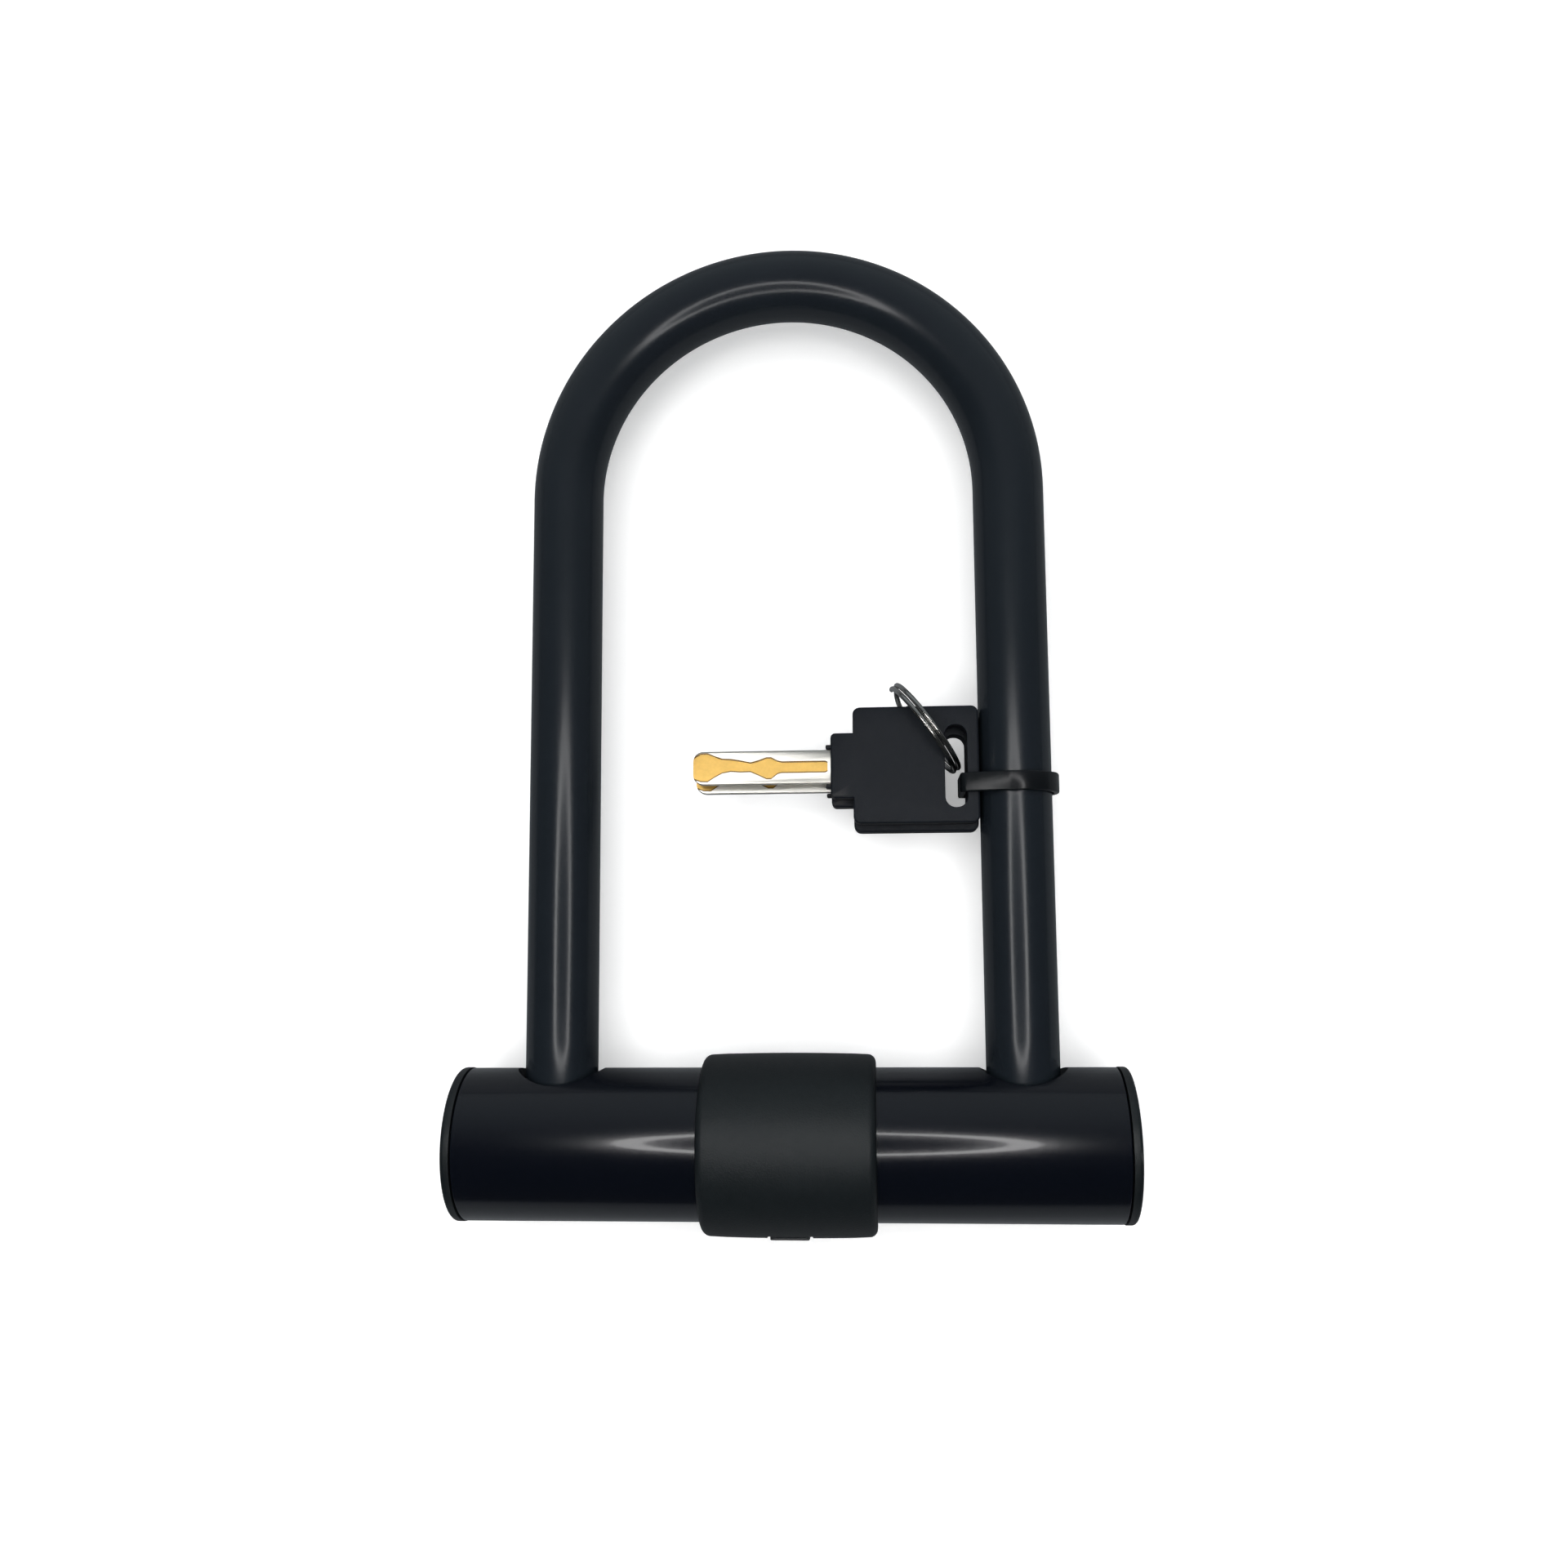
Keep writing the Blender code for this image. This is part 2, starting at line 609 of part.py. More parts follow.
def make_bolt(side, parent, steel):
    """The right bolt as it stands; the left is the same one under an empty that is half turned."""
    arm_end = -(drive_side + slot_half + ARM_EDGE)
    middle = (block_start + block_end) / 2
    bolt = box(
        f"bolt_{side}", (block_end - ARM_EDGE, bolt_bottom, -BOLT_WIDTH / 2),
        (bolt_tip, bolt_bottom + BOLT_HEIGHT, BOLT_WIDTH / 2), parent, steel, round_along=0, radius=ARM_EDGE, segments=3,
    )
    half = BOLT_BLOCK_WIDTH / 2
    block = box(f"bolt_block_{side}", (block_start, bolt_bottom, -half), (block_end, arm_top, half), parent)
    arm = box(f"bolt_arm_{side}", (arm_end, arm_bottom, ARM_SPLIT), (middle, arm_top, arm_outer), parent)
    join(bolt, block, arm)
    slot = box(
        f"arm_slot_{side}",
        (-drive_side - slot_half, arm_bottom - ARM_THICKNESS, drive_side - slot_half),
        (-drive_side + slot_half, arm_top + ARM_THICKNESS, DRIVE_RADIUS + slot_half),
        parent, round_along=1, radius=slot_half / 2, segments=3,
    )
    cut(bolt, slot)


# Keys, ring and tie; the empty on the leg's axis is their origin


def make_key(number, parent, plastic, nickel):
    """The upper key is number 1; the lower one lies a little further down the leg."""
    sign = 1 if number == 1 else -1
    low_z, high_z = sorted((sign * KEY_SEPARATION / 2, sign * stack_half))
    mid_z = (low_z + high_z) / 2
    mid_y = KEY_HEIGHT - (number - 1) * KEY_STAGGER

    def local(x, y, z):
        return (x - leg_x, y + mid_y - KEY_HEIGHT, z)

    half = BOW_WIDTH / 2
    bow = box(
        f"key_{number}_bow", local(bow_left, -half, low_z), local(key_right, half, high_z), parent, plastic,
        round_along=2, radius=BOW_ROUND, segments=4,
    )
    half = BOSS_WIDTH / 2
    boss = box(
        f"key_boss_{number}", local(boss_left, -half, low_z), local(bow_left + BOW_ROUND, half, high_z), parent,
        round_along=2, radius=BOSS_ROUND, segments=3,
    )
    join(bow, boss)
    middle, half = -KEY_SLOT_DROP, KEY_SLOT_LENGTH / 2
    slot = box(
        f"key_slot_{number}", local(slot_right - KEY_SLOT_WIDTH, middle - half, low_z - BOW_THICKNESS),
        local(slot_right, middle + half, high_z + BOW_THICKNESS), parent,
        round_along=2, radius=0.49 * KEY_SLOT_WIDTH, segments=6,
    )
    half, thick = BLADE_WIDTH / 2 + GAP, BLADE_THICKNESS / 2 + GAP
    pocket = box(
        f"tang_pocket_{number}", local(boss_left - BOSS_LENGTH, -half, mid_z - thick),
        local(boss_left + TANG_LENGTH + GAP, half, mid_z + thick), parent,
    )
    cut(bow, slot, pocket)

    half, thick = BLADE_WIDTH / 2, BLADE_THICKNESS / 2
    blade = box(
        f"key_{number}_blade", local(blade_tip, -half, mid_z - thick),
        local(boss_left + TANG_LENGTH, half, mid_z + thick), parent, nickel,
        round_along=2, radius=BLADE_ROUND, segments=4,
    )
    for face, side in (("front", 1), ("back", -1)):
        z_low, z_high = sorted((mid_z + side * (thick - GROOVE_DEPTH), mid_z + side * 2 * thick))
        cut(blade, box(
            f"key_groove_{number}_{face}", local(blade_tip - BLADE_ROUND, -GROOVE_WIDTH / 2, z_low),
            local(boss_left, GROOVE_WIDTH / 2, z_high), parent,
        ))


def tie_outline(clearance):
    """Outline at one distance from the leg and the strips of both keys, seen along the leg, about its axis."""
    corner_x, corner_z = slot_right - leg_x, stack_half
    reach = math.hypot(corner_x, corner_z)
    lean = math.degrees(math.atan2(corner_z, corner_x) - math.acos(coat_radius / reach))
    return [
        *arc((0, 0), coat_radius + clearance, -lean, lean, 26),
        *arc((corner_x, corner_z), clearance, lean, 180, 4),
        *arc((corner_x, -corner_z), clearance, 180, 360 - lean, 4),
    ]


def make_tie(parent, nylon):
    outlines = [tie_outline(TIE_PLAY), tie_outline(TIE_PLAY + TIE_THICKNESS)]
    loop = curve("cable_tie", outlines, cyclic=True, dimensions="2D")
    loop.data.fill_mode = "BOTH"
    loop.data.extrude = TIE_WIDTH / 2
    height = TIE_HEIGHT - KEY_HEIGHT
    loop.location = (0, height, 0)
    loop.rotation_euler = (math.pi / 2, 0, 0)
    tie = as_mesh(loop, parent, nylon)

    frame = empty("tie_head_frame", parent, (0, height, 0), (0, math.radians(-TIE_HEAD_ANGLE), 0))
    inner = coat_radius + TIE_PLAY + TIE_THICKNESS / 2
    half_long, half_wide = TIE_HEAD.x / 2, TIE_HEAD.y / 2
    outer = inner + TIE_HEAD.z
    head = box(
        "tie_head", (inner, -half_wide, -half_long), (outer, half_wide, half_long), frame,
        round_along=1, radius=TIE_THICKNESS / 2, segments=3,
    )
    tail_low = inner + TIE_THICKNESS
    tail = box(
        "tie_tail", (tail_low, -TIE_WIDTH / 2, 0), (tail_low + TIE_THICKNESS, TIE_WIDTH / 2, half_long + TIE_TAIL), frame
    )
    join(tie, head, tail)


def ring_points(steps=36):
    """Two flat coils side by side, with one short step across between them."""
    half_pitch = (RING_WIRE + RING_COIL_GAP) / 2
    last = 720 - RING_STEP
    count = round(steps * last / 360)
    points = []
    for i in range(count + 1):
        angle = last * i / count
        across = min(max((angle - (360 - RING_STEP)) / RING_STEP, 0.0), 1.0)
        smooth = across * across * (3 - 2 * across)
        turn = math.radians(angle)
        points.append((
            RING_RADIUS * math.cos(turn), RING_RADIUS * math.sin(turn), half_pitch * (2 * smooth - 1)
        ))
    return points


def make_ring(parent, steel):
    """The parent empty stands at the ring's middle, with its Z axis along the ring's own axis."""
    wire = curve("key_ring", [ring_points()])
    wire.data.bevel_depth = RING_WIRE / 2
    wire.data.bevel_resolution = 2
    wire.data.use_fill_caps = True
    as_mesh(wire, parent, steel)


def main():
    clear_scene()
    vinyl = material("vinyl_coat", (0.012, 0.015, 0.019), 0.38)
    paint = material("black_paint", (0.006, 0.008, 0.013), 0.18)
    plastic = material("charcoal_plastic", (0.014, 0.017, 0.020), 0.55)
    rubber = material("rubber", (0.01, 0.01, 0.011), 0.8)
    nylon = material("black_nylon", (0.008, 0.009, 0.011), 0.2)
    zinc = material("zinc", (0.45, 0.46, 0.48), 0.5, 1.0)
    steel = material("steel", (0.42, 0.43, 0.45), 0.35, 1.0)
    ring_steel = material("ring_steel", (0.30, 0.30, 0.31), 0.25, 1.0)
    brass = material("brass", (0.62, 0.45, 0.16), 0.35, 1.0)
    nickel = material("nickel_brass", (0.74, 0.67, 0.50), 0.3, 1.0)

    bar = empty("crossbar_middle", location=bar_place)
    shackle = empty("shackle_frame", bar)
    make_shackle(shackle, steel, vinyl)

    make_tube(bar, paint)
    make_end_caps(bar, plastic)
    make_leg_fittings(bar, zinc, rubber, steel)
    make_housing(bar, zinc, steel)

    make_collar(bar, plastic)
    make_shutter(empty("shutter_axis", bar), plastic)

    plug_axis = empty("plug_axis", bar)
    make_cylinder(bar, plug_axis, brass, brass)
    make_cam(plug_axis, steel)
    make_bolt("right", empty("bolt_right_frame", bar), steel)
    make_bolt("left", empty("bolt_left_frame", bar, rotation=(0, math.pi, 0)), steel)

    leg_axis = empty("right_leg_axis", shackle, (leg_x, KEY_HEIGHT, 0))
    for number in (1, 2):
        make_key(number, leg_axis, plastic, nickel)
    make_tie(leg_axis, nylon)
    lean = math.radians(RING_LEAN)
    up_ring = Vector((-math.sin(lean), math.cos(lean), 0))
    middle = Vector((slot_right - RING_INSET - leg_x, -RING_DROP, 0)) + up_ring * RING_RADIUS
    ring_axis = empty("ring_axis", leg_axis, middle, (math.pi / 2, 0, math.pi / 2 + lean))
    make_ring(ring_axis, ring_steel)


if __name__ == "__main__":
    main()
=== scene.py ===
"""Looks for a bicycle U-lock with its two keys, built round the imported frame.

The file is laid out as an add-on and is run as a script.  Everything is in metres, in the
frame's own axes: +X along the crossbar, +Y up the legs, +Z away from the floor.
"""

import json
import math

import bmesh
import bpy
from mathutils import Matrix, Vector


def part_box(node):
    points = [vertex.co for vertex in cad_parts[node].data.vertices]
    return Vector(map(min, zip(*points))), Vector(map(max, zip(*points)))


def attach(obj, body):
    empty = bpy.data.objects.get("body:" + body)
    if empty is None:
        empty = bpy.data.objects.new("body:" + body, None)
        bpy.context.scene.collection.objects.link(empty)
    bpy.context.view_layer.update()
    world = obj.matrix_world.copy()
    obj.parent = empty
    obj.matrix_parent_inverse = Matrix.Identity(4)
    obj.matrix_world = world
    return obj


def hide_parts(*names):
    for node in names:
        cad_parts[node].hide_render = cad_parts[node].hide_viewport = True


bl_info = {
    "name": "Bicycle U-Lock",
    "version": (1, 0, 0),
    "blender": (4, 5, 0),
    "location": "View3D > Sidebar > U-Lock",
    "description": "Builds the coated shackle, crossbar, keys and ring of a bicycle U-lock",
    "category": "Add Mesh",
}

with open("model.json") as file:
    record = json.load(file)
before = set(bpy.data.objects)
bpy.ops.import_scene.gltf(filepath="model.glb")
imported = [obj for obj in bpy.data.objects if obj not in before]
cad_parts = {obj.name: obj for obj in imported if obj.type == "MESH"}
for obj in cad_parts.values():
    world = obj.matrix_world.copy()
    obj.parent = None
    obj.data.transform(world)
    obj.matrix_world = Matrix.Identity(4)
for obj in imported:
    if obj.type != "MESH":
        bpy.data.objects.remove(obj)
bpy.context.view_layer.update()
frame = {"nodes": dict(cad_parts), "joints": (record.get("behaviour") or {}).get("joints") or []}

MM = 0.001


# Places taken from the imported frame


def middle_of(node):
    low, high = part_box(node)
    return (low + high) / 2


def size_of(node):
    low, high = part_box(node)
    return high - low


BAR = middle_of("crossbar_tube")
TUBE_RADIUS = size_of("crossbar_tube").z / 2
TUBE_HALF = size_of("crossbar_tube").x / 2
COAT_LOW, COAT_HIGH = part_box("shackle_coat")
COAT_RADIUS = size_of("shackle_coat").z / 2
LEG_X = COAT_HIGH.x - COAT_RADIUS
BEND_Y = COAT_HIGH.y - LEG_X - COAT_RADIUS
CAP_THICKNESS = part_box("end_cap_right")[1].x - TUBE_HALF
COLLAR_RADIUS = size_of("collar").z / 2
COLLAR_HALF = size_of("collar").x / 2
GRIP_RADIUS = BAR.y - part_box("shutter")[0].y
GUIDE_PIN_X = middle_of("guide_pin_right").x
RING_JOINT = next(joint for joint in frame["joints"] if joint["name"] == "ring_turn")
TIE_LOW, TIE_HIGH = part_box("cable_tie")

GAP = 0.3 * MM  # between pieces that touch
COLLAR_CROWN = 0.35 * MM  # rise of the collar's middle over its ends
GRIP_ARC, FLANGE_ARC = 19, 24  # degrees each way, of the dust cover
BOSS_LENGTH, HALF_BOSS = 5.6 * MM, 8.2 * MM
BOW_ROUND, BOSS_ROUND, BLADE_ROUND = 1.8 * MM, 1.2 * MM, 2.6 * MM
SLOT_STRIP, SLOT_WIDTH, SLOT_HALF = 3.0 * MM, 5.5 * MM, 10.3 * MM  # strip: from the slot to the leg
SLOT_DROP = 0.5 * MM  # slot's middle below the key's
RING_RADIUS, COIL_GAP = 13.0 * MM, 0.12 * MM
RING_STEP = 50  # degrees that the wire takes to cross from coil to coil
TIE_PLAY, TIE_HALF = 0.5 * MM, 2.4 * MM
TIE_HEAD_TURN = 78  # degrees round the leg, from the +X side downwards

# Ring-shaped light and camera, both from the crossbar's middle
HALO_PLACE = (0.005, 0.050, 0.348)
HALO_SIZE = (0.146, 0.097, 0.1)
CAMERA_PLACE = (0.023136, 0.047413, 0.349514)
CAMERA_TURN = (0.11948, 0.06854, -0.01499)  # about X, then the turned Y, then the turned Z
CAMERA_LENS = 31.875


# Sizes and colours that a user would change


def length(name, description, default):
    return bpy.props.FloatProperty(
        name=name, description=description, default=default, min=0.0, unit="LENGTH",
        subtype="DISTANCE", precision=5,
    )


def count(name, description, default):
    return bpy.props.IntProperty(name=name, description=description, default=default, min=3)


def colour(name, description, default):
    return bpy.props.FloatVectorProperty(
        name=name, description=description, default=default, size=3, min=0.0, max=1.0, subtype="COLOR"
    )


class LockSizes(bpy.types.PropertyGroup):
    coat_wall: length("Coat Wall", "Thickness of the vinyl sleeve over the shackle", 1.7 * MM)
    tube_wall: length("Tube Wall", "Thickness of the crossbar's tube", 2.5 * MM)
    leg_play: length("Leg Hole Play", "Crossbar's leg hole beyond the sleeve, for the seal ring", 1.8 * MM)
    keyhole: length("Keyhole Radius", "Radius of the keyhole through the crossbar's wall", 9.8 * MM)
    pin_hole: length("Pin Hole Radius", "Radius of the spring pin holes", 2.3 * MM)
    cap_recess: length("Cap Recess", "Depth of the dish in an end cap", 0.5 * MM)
    collar_wall: length("Collar Wall", "Thickness of the collar's sleeve", 3.3 * MM)
    collar_round: length("Collar Rounding", "Rounding of the collar's two edges", 2.0 * MM)
    rib_height: length("Rib Height", "Height of the ribs on the dust cover's grip", 0.55 * MM)
    bow_edge: length("Bow Edge", "Rounding of a key bow's edges", 0.55 * MM)
    groove_depth: length("Groove Depth", "Depth of the snake groove in a key's blade", 0.55 * MM)
    ring_wire: length("Ring Wire", "Width of the split ring's wire", 1.3 * MM)
    strap: length("Strap Thickness", "Thickness of the cable tie's strap", 1.3 * MM)
    sides: count("Sides", "Faces round the crossbar and collar", 160)


class LockColours(bpy.types.PropertyGroup):
    vinyl: colour("Vinyl", "Sleeve over the shackle", (0.0085, 0.0115, 0.0150))
    paint: colour("Paint", "Gloss paint on the crossbar", (0.0018, 0.0026, 0.0052))
    plastic: colour("Plastic", "Collar, dust cover and end caps", (0.0050, 0.0072, 0.0085))
    bow: colour("Bow", "Plastic of the key bows", (0.0050, 0.0066, 0.0095))
    nylon: colour("Nylon", "Cable tie", (0.004, 0.005, 0.006))
    rubber: colour("Rubber", "Seal rings round the legs", (0.009, 0.009, 0.010))
    nickel: colour("Nickel", "Faces of the key blades", (0.86, 0.84, 0.78))
    gold: colour("Gold", "Bottom of the groove in the key blades", (0.66, 0.42, 0.12))
    brass: colour("Brass", "Lock cylinder and its wafers", (0.66, 0.47, 0.17))
    steel: colour("Steel", "Shackle bar, pins, cam and bolts", (0.46, 0.47, 0.49))
    ring_steel: colour("Ring Steel", "Split ring", (0.56, 0.55, 0.53))
    zinc: colour("Zinc", "Cast housing and foot guides", (0.42, 0.43, 0.45))
    floor: colour("Floor", "Pale floor", (0.94, 0.94, 0.94))


# Modelling


def deselect():
    if bpy.context.mode != "OBJECT":
        bpy.ops.object.mode_set(mode="OBJECT")
    bpy.ops.object.select_all(action="DESELECT")


def activate(obj):
    deselect()
    obj.select_set(True)
    bpy.context.view_layer.objects.active = obj


def edit(obj):
    activate(obj)
    bpy.ops.object.mode_set(mode="EDIT")


def settle(obj):
    """Puts an object's place, turn and size into its mesh."""
    activate(obj)
    bpy.ops.object.transform_apply(location=True, rotation=True, scale=True)
    return obj


def pick_faces(test):
    """Selects the faces whose middle and normal pass a test, in edit mode."""
    bpy.ops.mesh.select_mode(type="FACE")
    bpy.ops.mesh.select_all(action="DESELECT")
    mesh = bpy.context.edit_object.data
    faces = [f for f in bmesh.from_edit_mesh(mesh).faces if test(f.calc_center_median(), f.normal)]
    if not faces:
        raise RuntimeError(f"no face to select on {bpy.context.edit_object.name}")
    for face in faces:
        face.select_set(True)
    bmesh.update_edit_mesh(mesh)


def pick_edges(test):
    """Selects the edges whose two ends pass a test, in edit mode."""
    bpy.ops.mesh.select_mode(type="EDGE")
    bpy.ops.mesh.select_all(action="DESELECT")
    mesh = bpy.context.edit_object.data
    edges = [e for e in bmesh.from_edit_mesh(mesh).edges if test(e.verts[0].co, e.verts[1].co)]
    if not edges:
        raise RuntimeError(f"no edge to select on {bpy.context.edit_object.name}")
    for edge in edges:
        edge.select_set(True)
    bmesh.update_edit_mesh(mesh)


def tidy_normals():
    bpy.ops.mesh.select_all(action="SELECT")
    bpy.ops.mesh.remove_doubles(threshold=0.000001)
    bpy.ops.mesh.normals_make_consistent(inside=False)


def modify(obj, kind, **settings):
    """Adds a modifier and applies it."""
    activate(obj)
    modifier = obj.modifiers.new(kind.lower(), kind)
    for key, value in settings.items():
        setattr(modifier, key, value)
    bpy.ops.object.modifier_apply(modifier=modifier.name)
    return obj


def combine(obj, *others, operation="DIFFERENCE"):
    """Cuts other pieces out of one, or joins them to it, and removes them."""
    for other in others:
        modify(obj, "BOOLEAN", operation=operation, solver="EXACT", object=other)
        bpy.data.objects.remove(other, do_unlink=True)
    return obj


def copied(obj, name):
    twin = obj.copy()
    twin.data = obj.data.copy()
    twin.name = twin.data.name = name
    bpy.context.scene.collection.objects.link(twin)
    return twin


def block(name, low, high):
    """A box between two corners."""
    low, high = Vector(low), Vector(high)
    deselect()
    bpy.ops.mesh.primitive_cube_add(size=1.0, location=(low + high) / 2, scale=high - low)
    made = bpy.context.object
    made.name = name
    return settle(made)


def round_edges(obj, along, radius, segments, test=None):
    """Bevels the edges that run along one axis."""
    edit(obj)
    pick_edges(lambda a, b: abs((a - b).normalized()[along]) > 0.999 and (not test or test((a + b) / 2)))
    bpy.ops.mesh.bevel(offset=radius, segments=segments, profile=0.5, affect="EDGES")
    deselect()
    return obj


def drum(name, radius, start, end, sides):
    """A round bar between two points."""
    start, end = Vector(start), Vector(end)
    deselect()
    bpy.ops.mesh.primitive_cylinder_add(
        vertices=sides,
        radius=radius,
        depth=(end - start).length,
        location=(start + end) / 2,
        rotation=(end - start).to_track_quat("Z", "Y").to_euler(),
    )
    made = bpy.context.object
    made.name = name
    return settle(made)


def turned(name, rings, sides, ends=False):
    """A shape turned round the X axis at the crossbar: a circle that is extruded and resized
    through (radius, x) rings.  It closes on itself, or has two flat ends."""
    deselect()
    bpy.ops.mesh.primitive_circle_add(
        vertices=sides, radius=rings[0][0], rotation=(0, math.pi / 2, 0),
        fill_type="NGON" if ends else "NOTHING",
    )
    made = settle(bpy.context.object)
    made.name = name
    edit(made)
    bpy.ops.mesh.select_mode(type="EDGE")
    bpy.ops.mesh.select_all(action="SELECT")
    bpy.ops.transform.translate(value=(rings[0][1], 0, 0))
    for (old, x), (new, next_x) in zip(rings, rings[1:]):
        bpy.ops.mesh.extrude_edges_move(TRANSFORM_OT_translate={"value": (next_x - x, 0, 0)})
        if new != old:
            bpy.ops.transform.resize(value=(1, new / old, new / old), center_override=(next_x, 0, 0))
    if ends:
        bpy.ops.mesh.edge_face_add()
    tidy_normals()
    deselect()
    made.location = BAR
    return settle(made)


def swept(name, inner, outer, half_width, start, end, steps):
    """A piece of a sleeve round the crossbar's axis, between two angles from -Y towards -Z."""
    deselect()
    bpy.ops.mesh.primitive_plane_add(size=1.0, location=(0, -(inner + outer) / 2, 0))
    made = bpy.context.object
    made.name = name
    made.scale = (2 * half_width, outer - inner, 1)
    settle(made)
    made.rotation_euler.x = math.radians(start)
    settle(made)
    edit(made)
    bpy.ops.mesh.select_all(action="SELECT")
    spin(math.radians(end - start), steps, (0, 0, 0), (1, 0, 0))
    tidy_normals()
    deselect()
    made.location = BAR
    return settle(made)


def spin(angle, steps, centre, axis):
    """The operator turns the other way, so the angle changes sign here."""
    bpy.ops.mesh.spin(steps=steps, angle=-angle, center=centre, axis=axis, dupli=False, use_auto_merge=False)


def rounding(radius, x, size, start, end, steps=5):
    """Rings of a rounded edge, with angles from outwards (0) towards +X (90)."""
    angles = [math.radians(start + (end - start) * i / steps) for i in range(steps + 1)]
    return [(radius + size * math.cos(a), x + size * math.sin(a)) for a in angles]


def done(obj, name, material, body, slot, *nodes, angle=32):
    """Names a finished piece, smooths it and fixes it to its body."""
    settle(obj)
    obj.name = obj.data.name = name
    obj.data.materials.clear()
    obj.data.materials.append(material)
    bpy.ops.object.shade_smooth_by_angle(angle=math.radians(angle))
    if nodes:
        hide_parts(*nodes)
    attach(obj, body)
    deselect()
    return obj


# Materials


def add(tree, kind, settings=(), **sockets):
    """Adds a node; each socket is given a value or another node's output."""
    made = tree.nodes.new(kind)
    for key, value in dict(settings).items():
        setattr(made, key, value)
    for key, value in sockets.items():
        socket = next(s for s in made.inputs if s.name.replace(" ", "_") == key and s.enabled)
        if isinstance(value, bpy.types.NodeSocket):
            tree.links.new(value, socket)
        else:
            socket.default_value = value
    return made


def math_node(tree, operation, first, second=0.0, clamp=False):
    made = tree.nodes.new("ShaderNodeMath")
    made.operation = operation
    made.use_clamp = clamp
    for socket, value in zip(made.inputs, (first, second)):
        if isinstance(value, bpy.types.NodeSocket):
            tree.links.new(value, socket)
        else:
            socket.default_value = value
    return made.outputs[0]


def mix_colour(tree, factor, first, second):
    made = tree.nodes.new("ShaderNodeMix")
    made.data_type = "RGBA"
    for socket, value in ((made.inputs[0], factor), (made.inputs[6], first), (made.inputs[7], second)):
        if isinstance(value, bpy.types.NodeSocket):
            tree.links.new(value, socket)
        else:
            socket.default_value = value
    return made.outputs[2]


def new_group(name, inputs, outputs):
    """A shader node group with its named inputs and outputs."""
    tree = bpy.data.node_groups.new(name, "ShaderNodeTree")
    for label, default in inputs.items():
        kind = "NodeSocketColor" if isinstance(default, tuple) else "NodeSocketFloat"
        socket = tree.interface.new_socket(name=label, in_out="INPUT", socket_type=kind)
        socket.default_value = default
    for label, kind in outputs.items():
        tree.interface.new_socket(name=label, in_out="OUTPUT", socket_type=kind)
    return tree, tree.nodes.new("NodeGroupInput"), tree.nodes.new("NodeGroupOutput")


def grain_group():
    """Fine moulded grain: a height of pits and pebbles of one size."""
    tree, given, out = new_group("moulded_grain", {"Grain Size": 0.0004}, {"Height": "NodeSocketFloat"})
    place = add(tree, "ShaderNodeTexCoord").outputs["Object"]
    scale = math_node(tree, "DIVIDE", 1.0, given.outputs["Grain Size"])
    pebbles = add(tree, "ShaderNodeTexVoronoi", settings={"feature": "SMOOTH_F1"}, Vector=place, Scale=scale)
    fine = math_node(tree, "MULTIPLY", scale, 1.7)
    noise = add(tree, "ShaderNodeTexNoise", Vector=place, Scale=fine, Detail=2.0)
    total = math_node(tree, "MULTIPLY_ADD", noise.outputs[0], 0.5)
    tree.links.new(pebbles.outputs["Distance"], total.node.inputs[2])
    tree.links.new(total, out.inputs["Height"])
    return tree


def tone_group():
    """Slow change of colour and roughness over a surface, as handling and moulding leave."""
    inputs = {"Colour": (0.01, 0.01, 0.01, 1.0), "Spread": 0.2, "Patch Size": 0.02, "Roughness": 0.4,
              "Roughness Spread": 0.08}
    outputs = {"Colour": "NodeSocketColor", "Roughness": "NodeSocketFloat"}
    tree, given, out = new_group("handled_tone", inputs, outputs)
    place = add(tree, "ShaderNodeTexCoord").outputs["Object"]
    scale = math_node(tree, "DIVIDE", 1.0, given.outputs["Patch Size"])
    patches = add(tree, "ShaderNodeTexNoise", Vector=place, Scale=scale, Detail=4.0, Roughness=0.6)
    signed = math_node(tree, "MULTIPLY_ADD", patches.outputs[0], 2.0)
    signed.node.inputs[2].default_value = -1.0
    spread = math_node(tree, "MULTIPLY", signed, given.outputs["Spread"])
    gain = math_node(tree, "ADD", spread, 1.0)
    scaled = add(tree, "ShaderNodeVectorMath", settings={"operation": "SCALE"})
    tree.links.new(given.outputs["Colour"], scaled.inputs[0])
    tree.links.new(gain, scaled.inputs["Scale"])
    tree.links.new(scaled.outputs[0], out.inputs["Colour"])
    change = math_node(tree, "MULTIPLY", signed, given.outputs["Roughness Spread"])
    roughness = math_node(tree, "ADD", given.outputs["Roughness"], change, clamp=True)
    tree.links.new(roughness, out.inputs["Roughness"])
    return tree


def line_group():
    """Fine lines left by drawing, turning or brushing, with their pitch along each axis."""
    inputs = {"Pitch X": 0.01, "Pitch Y": 0.0001, "Pitch Z": 0.0001}
    tree, given, out = new_group("drawn_lines", inputs, {"Height": "NodeSocketFloat"})
    place = add(tree, "ShaderNodeTexCoord").outputs["Object"]
    pitch = add(tree, "ShaderNodeCombineXYZ")
    for axis in "XYZ":
        tree.links.new(given.outputs[f"Pitch {axis}"], pitch.inputs[axis])
    spread = add(tree, "ShaderNodeVectorMath", settings={"operation": "DIVIDE"})
    tree.links.new(place, spread.inputs[0])
    tree.links.new(pitch.outputs[0], spread.inputs[1])
    noise = add(tree, "ShaderNodeTexNoise", Vector=spread.outputs[0], Scale=1.0, Detail=3.0)
    tree.links.new(noise.outputs[0], out.inputs["Height"])
    return tree


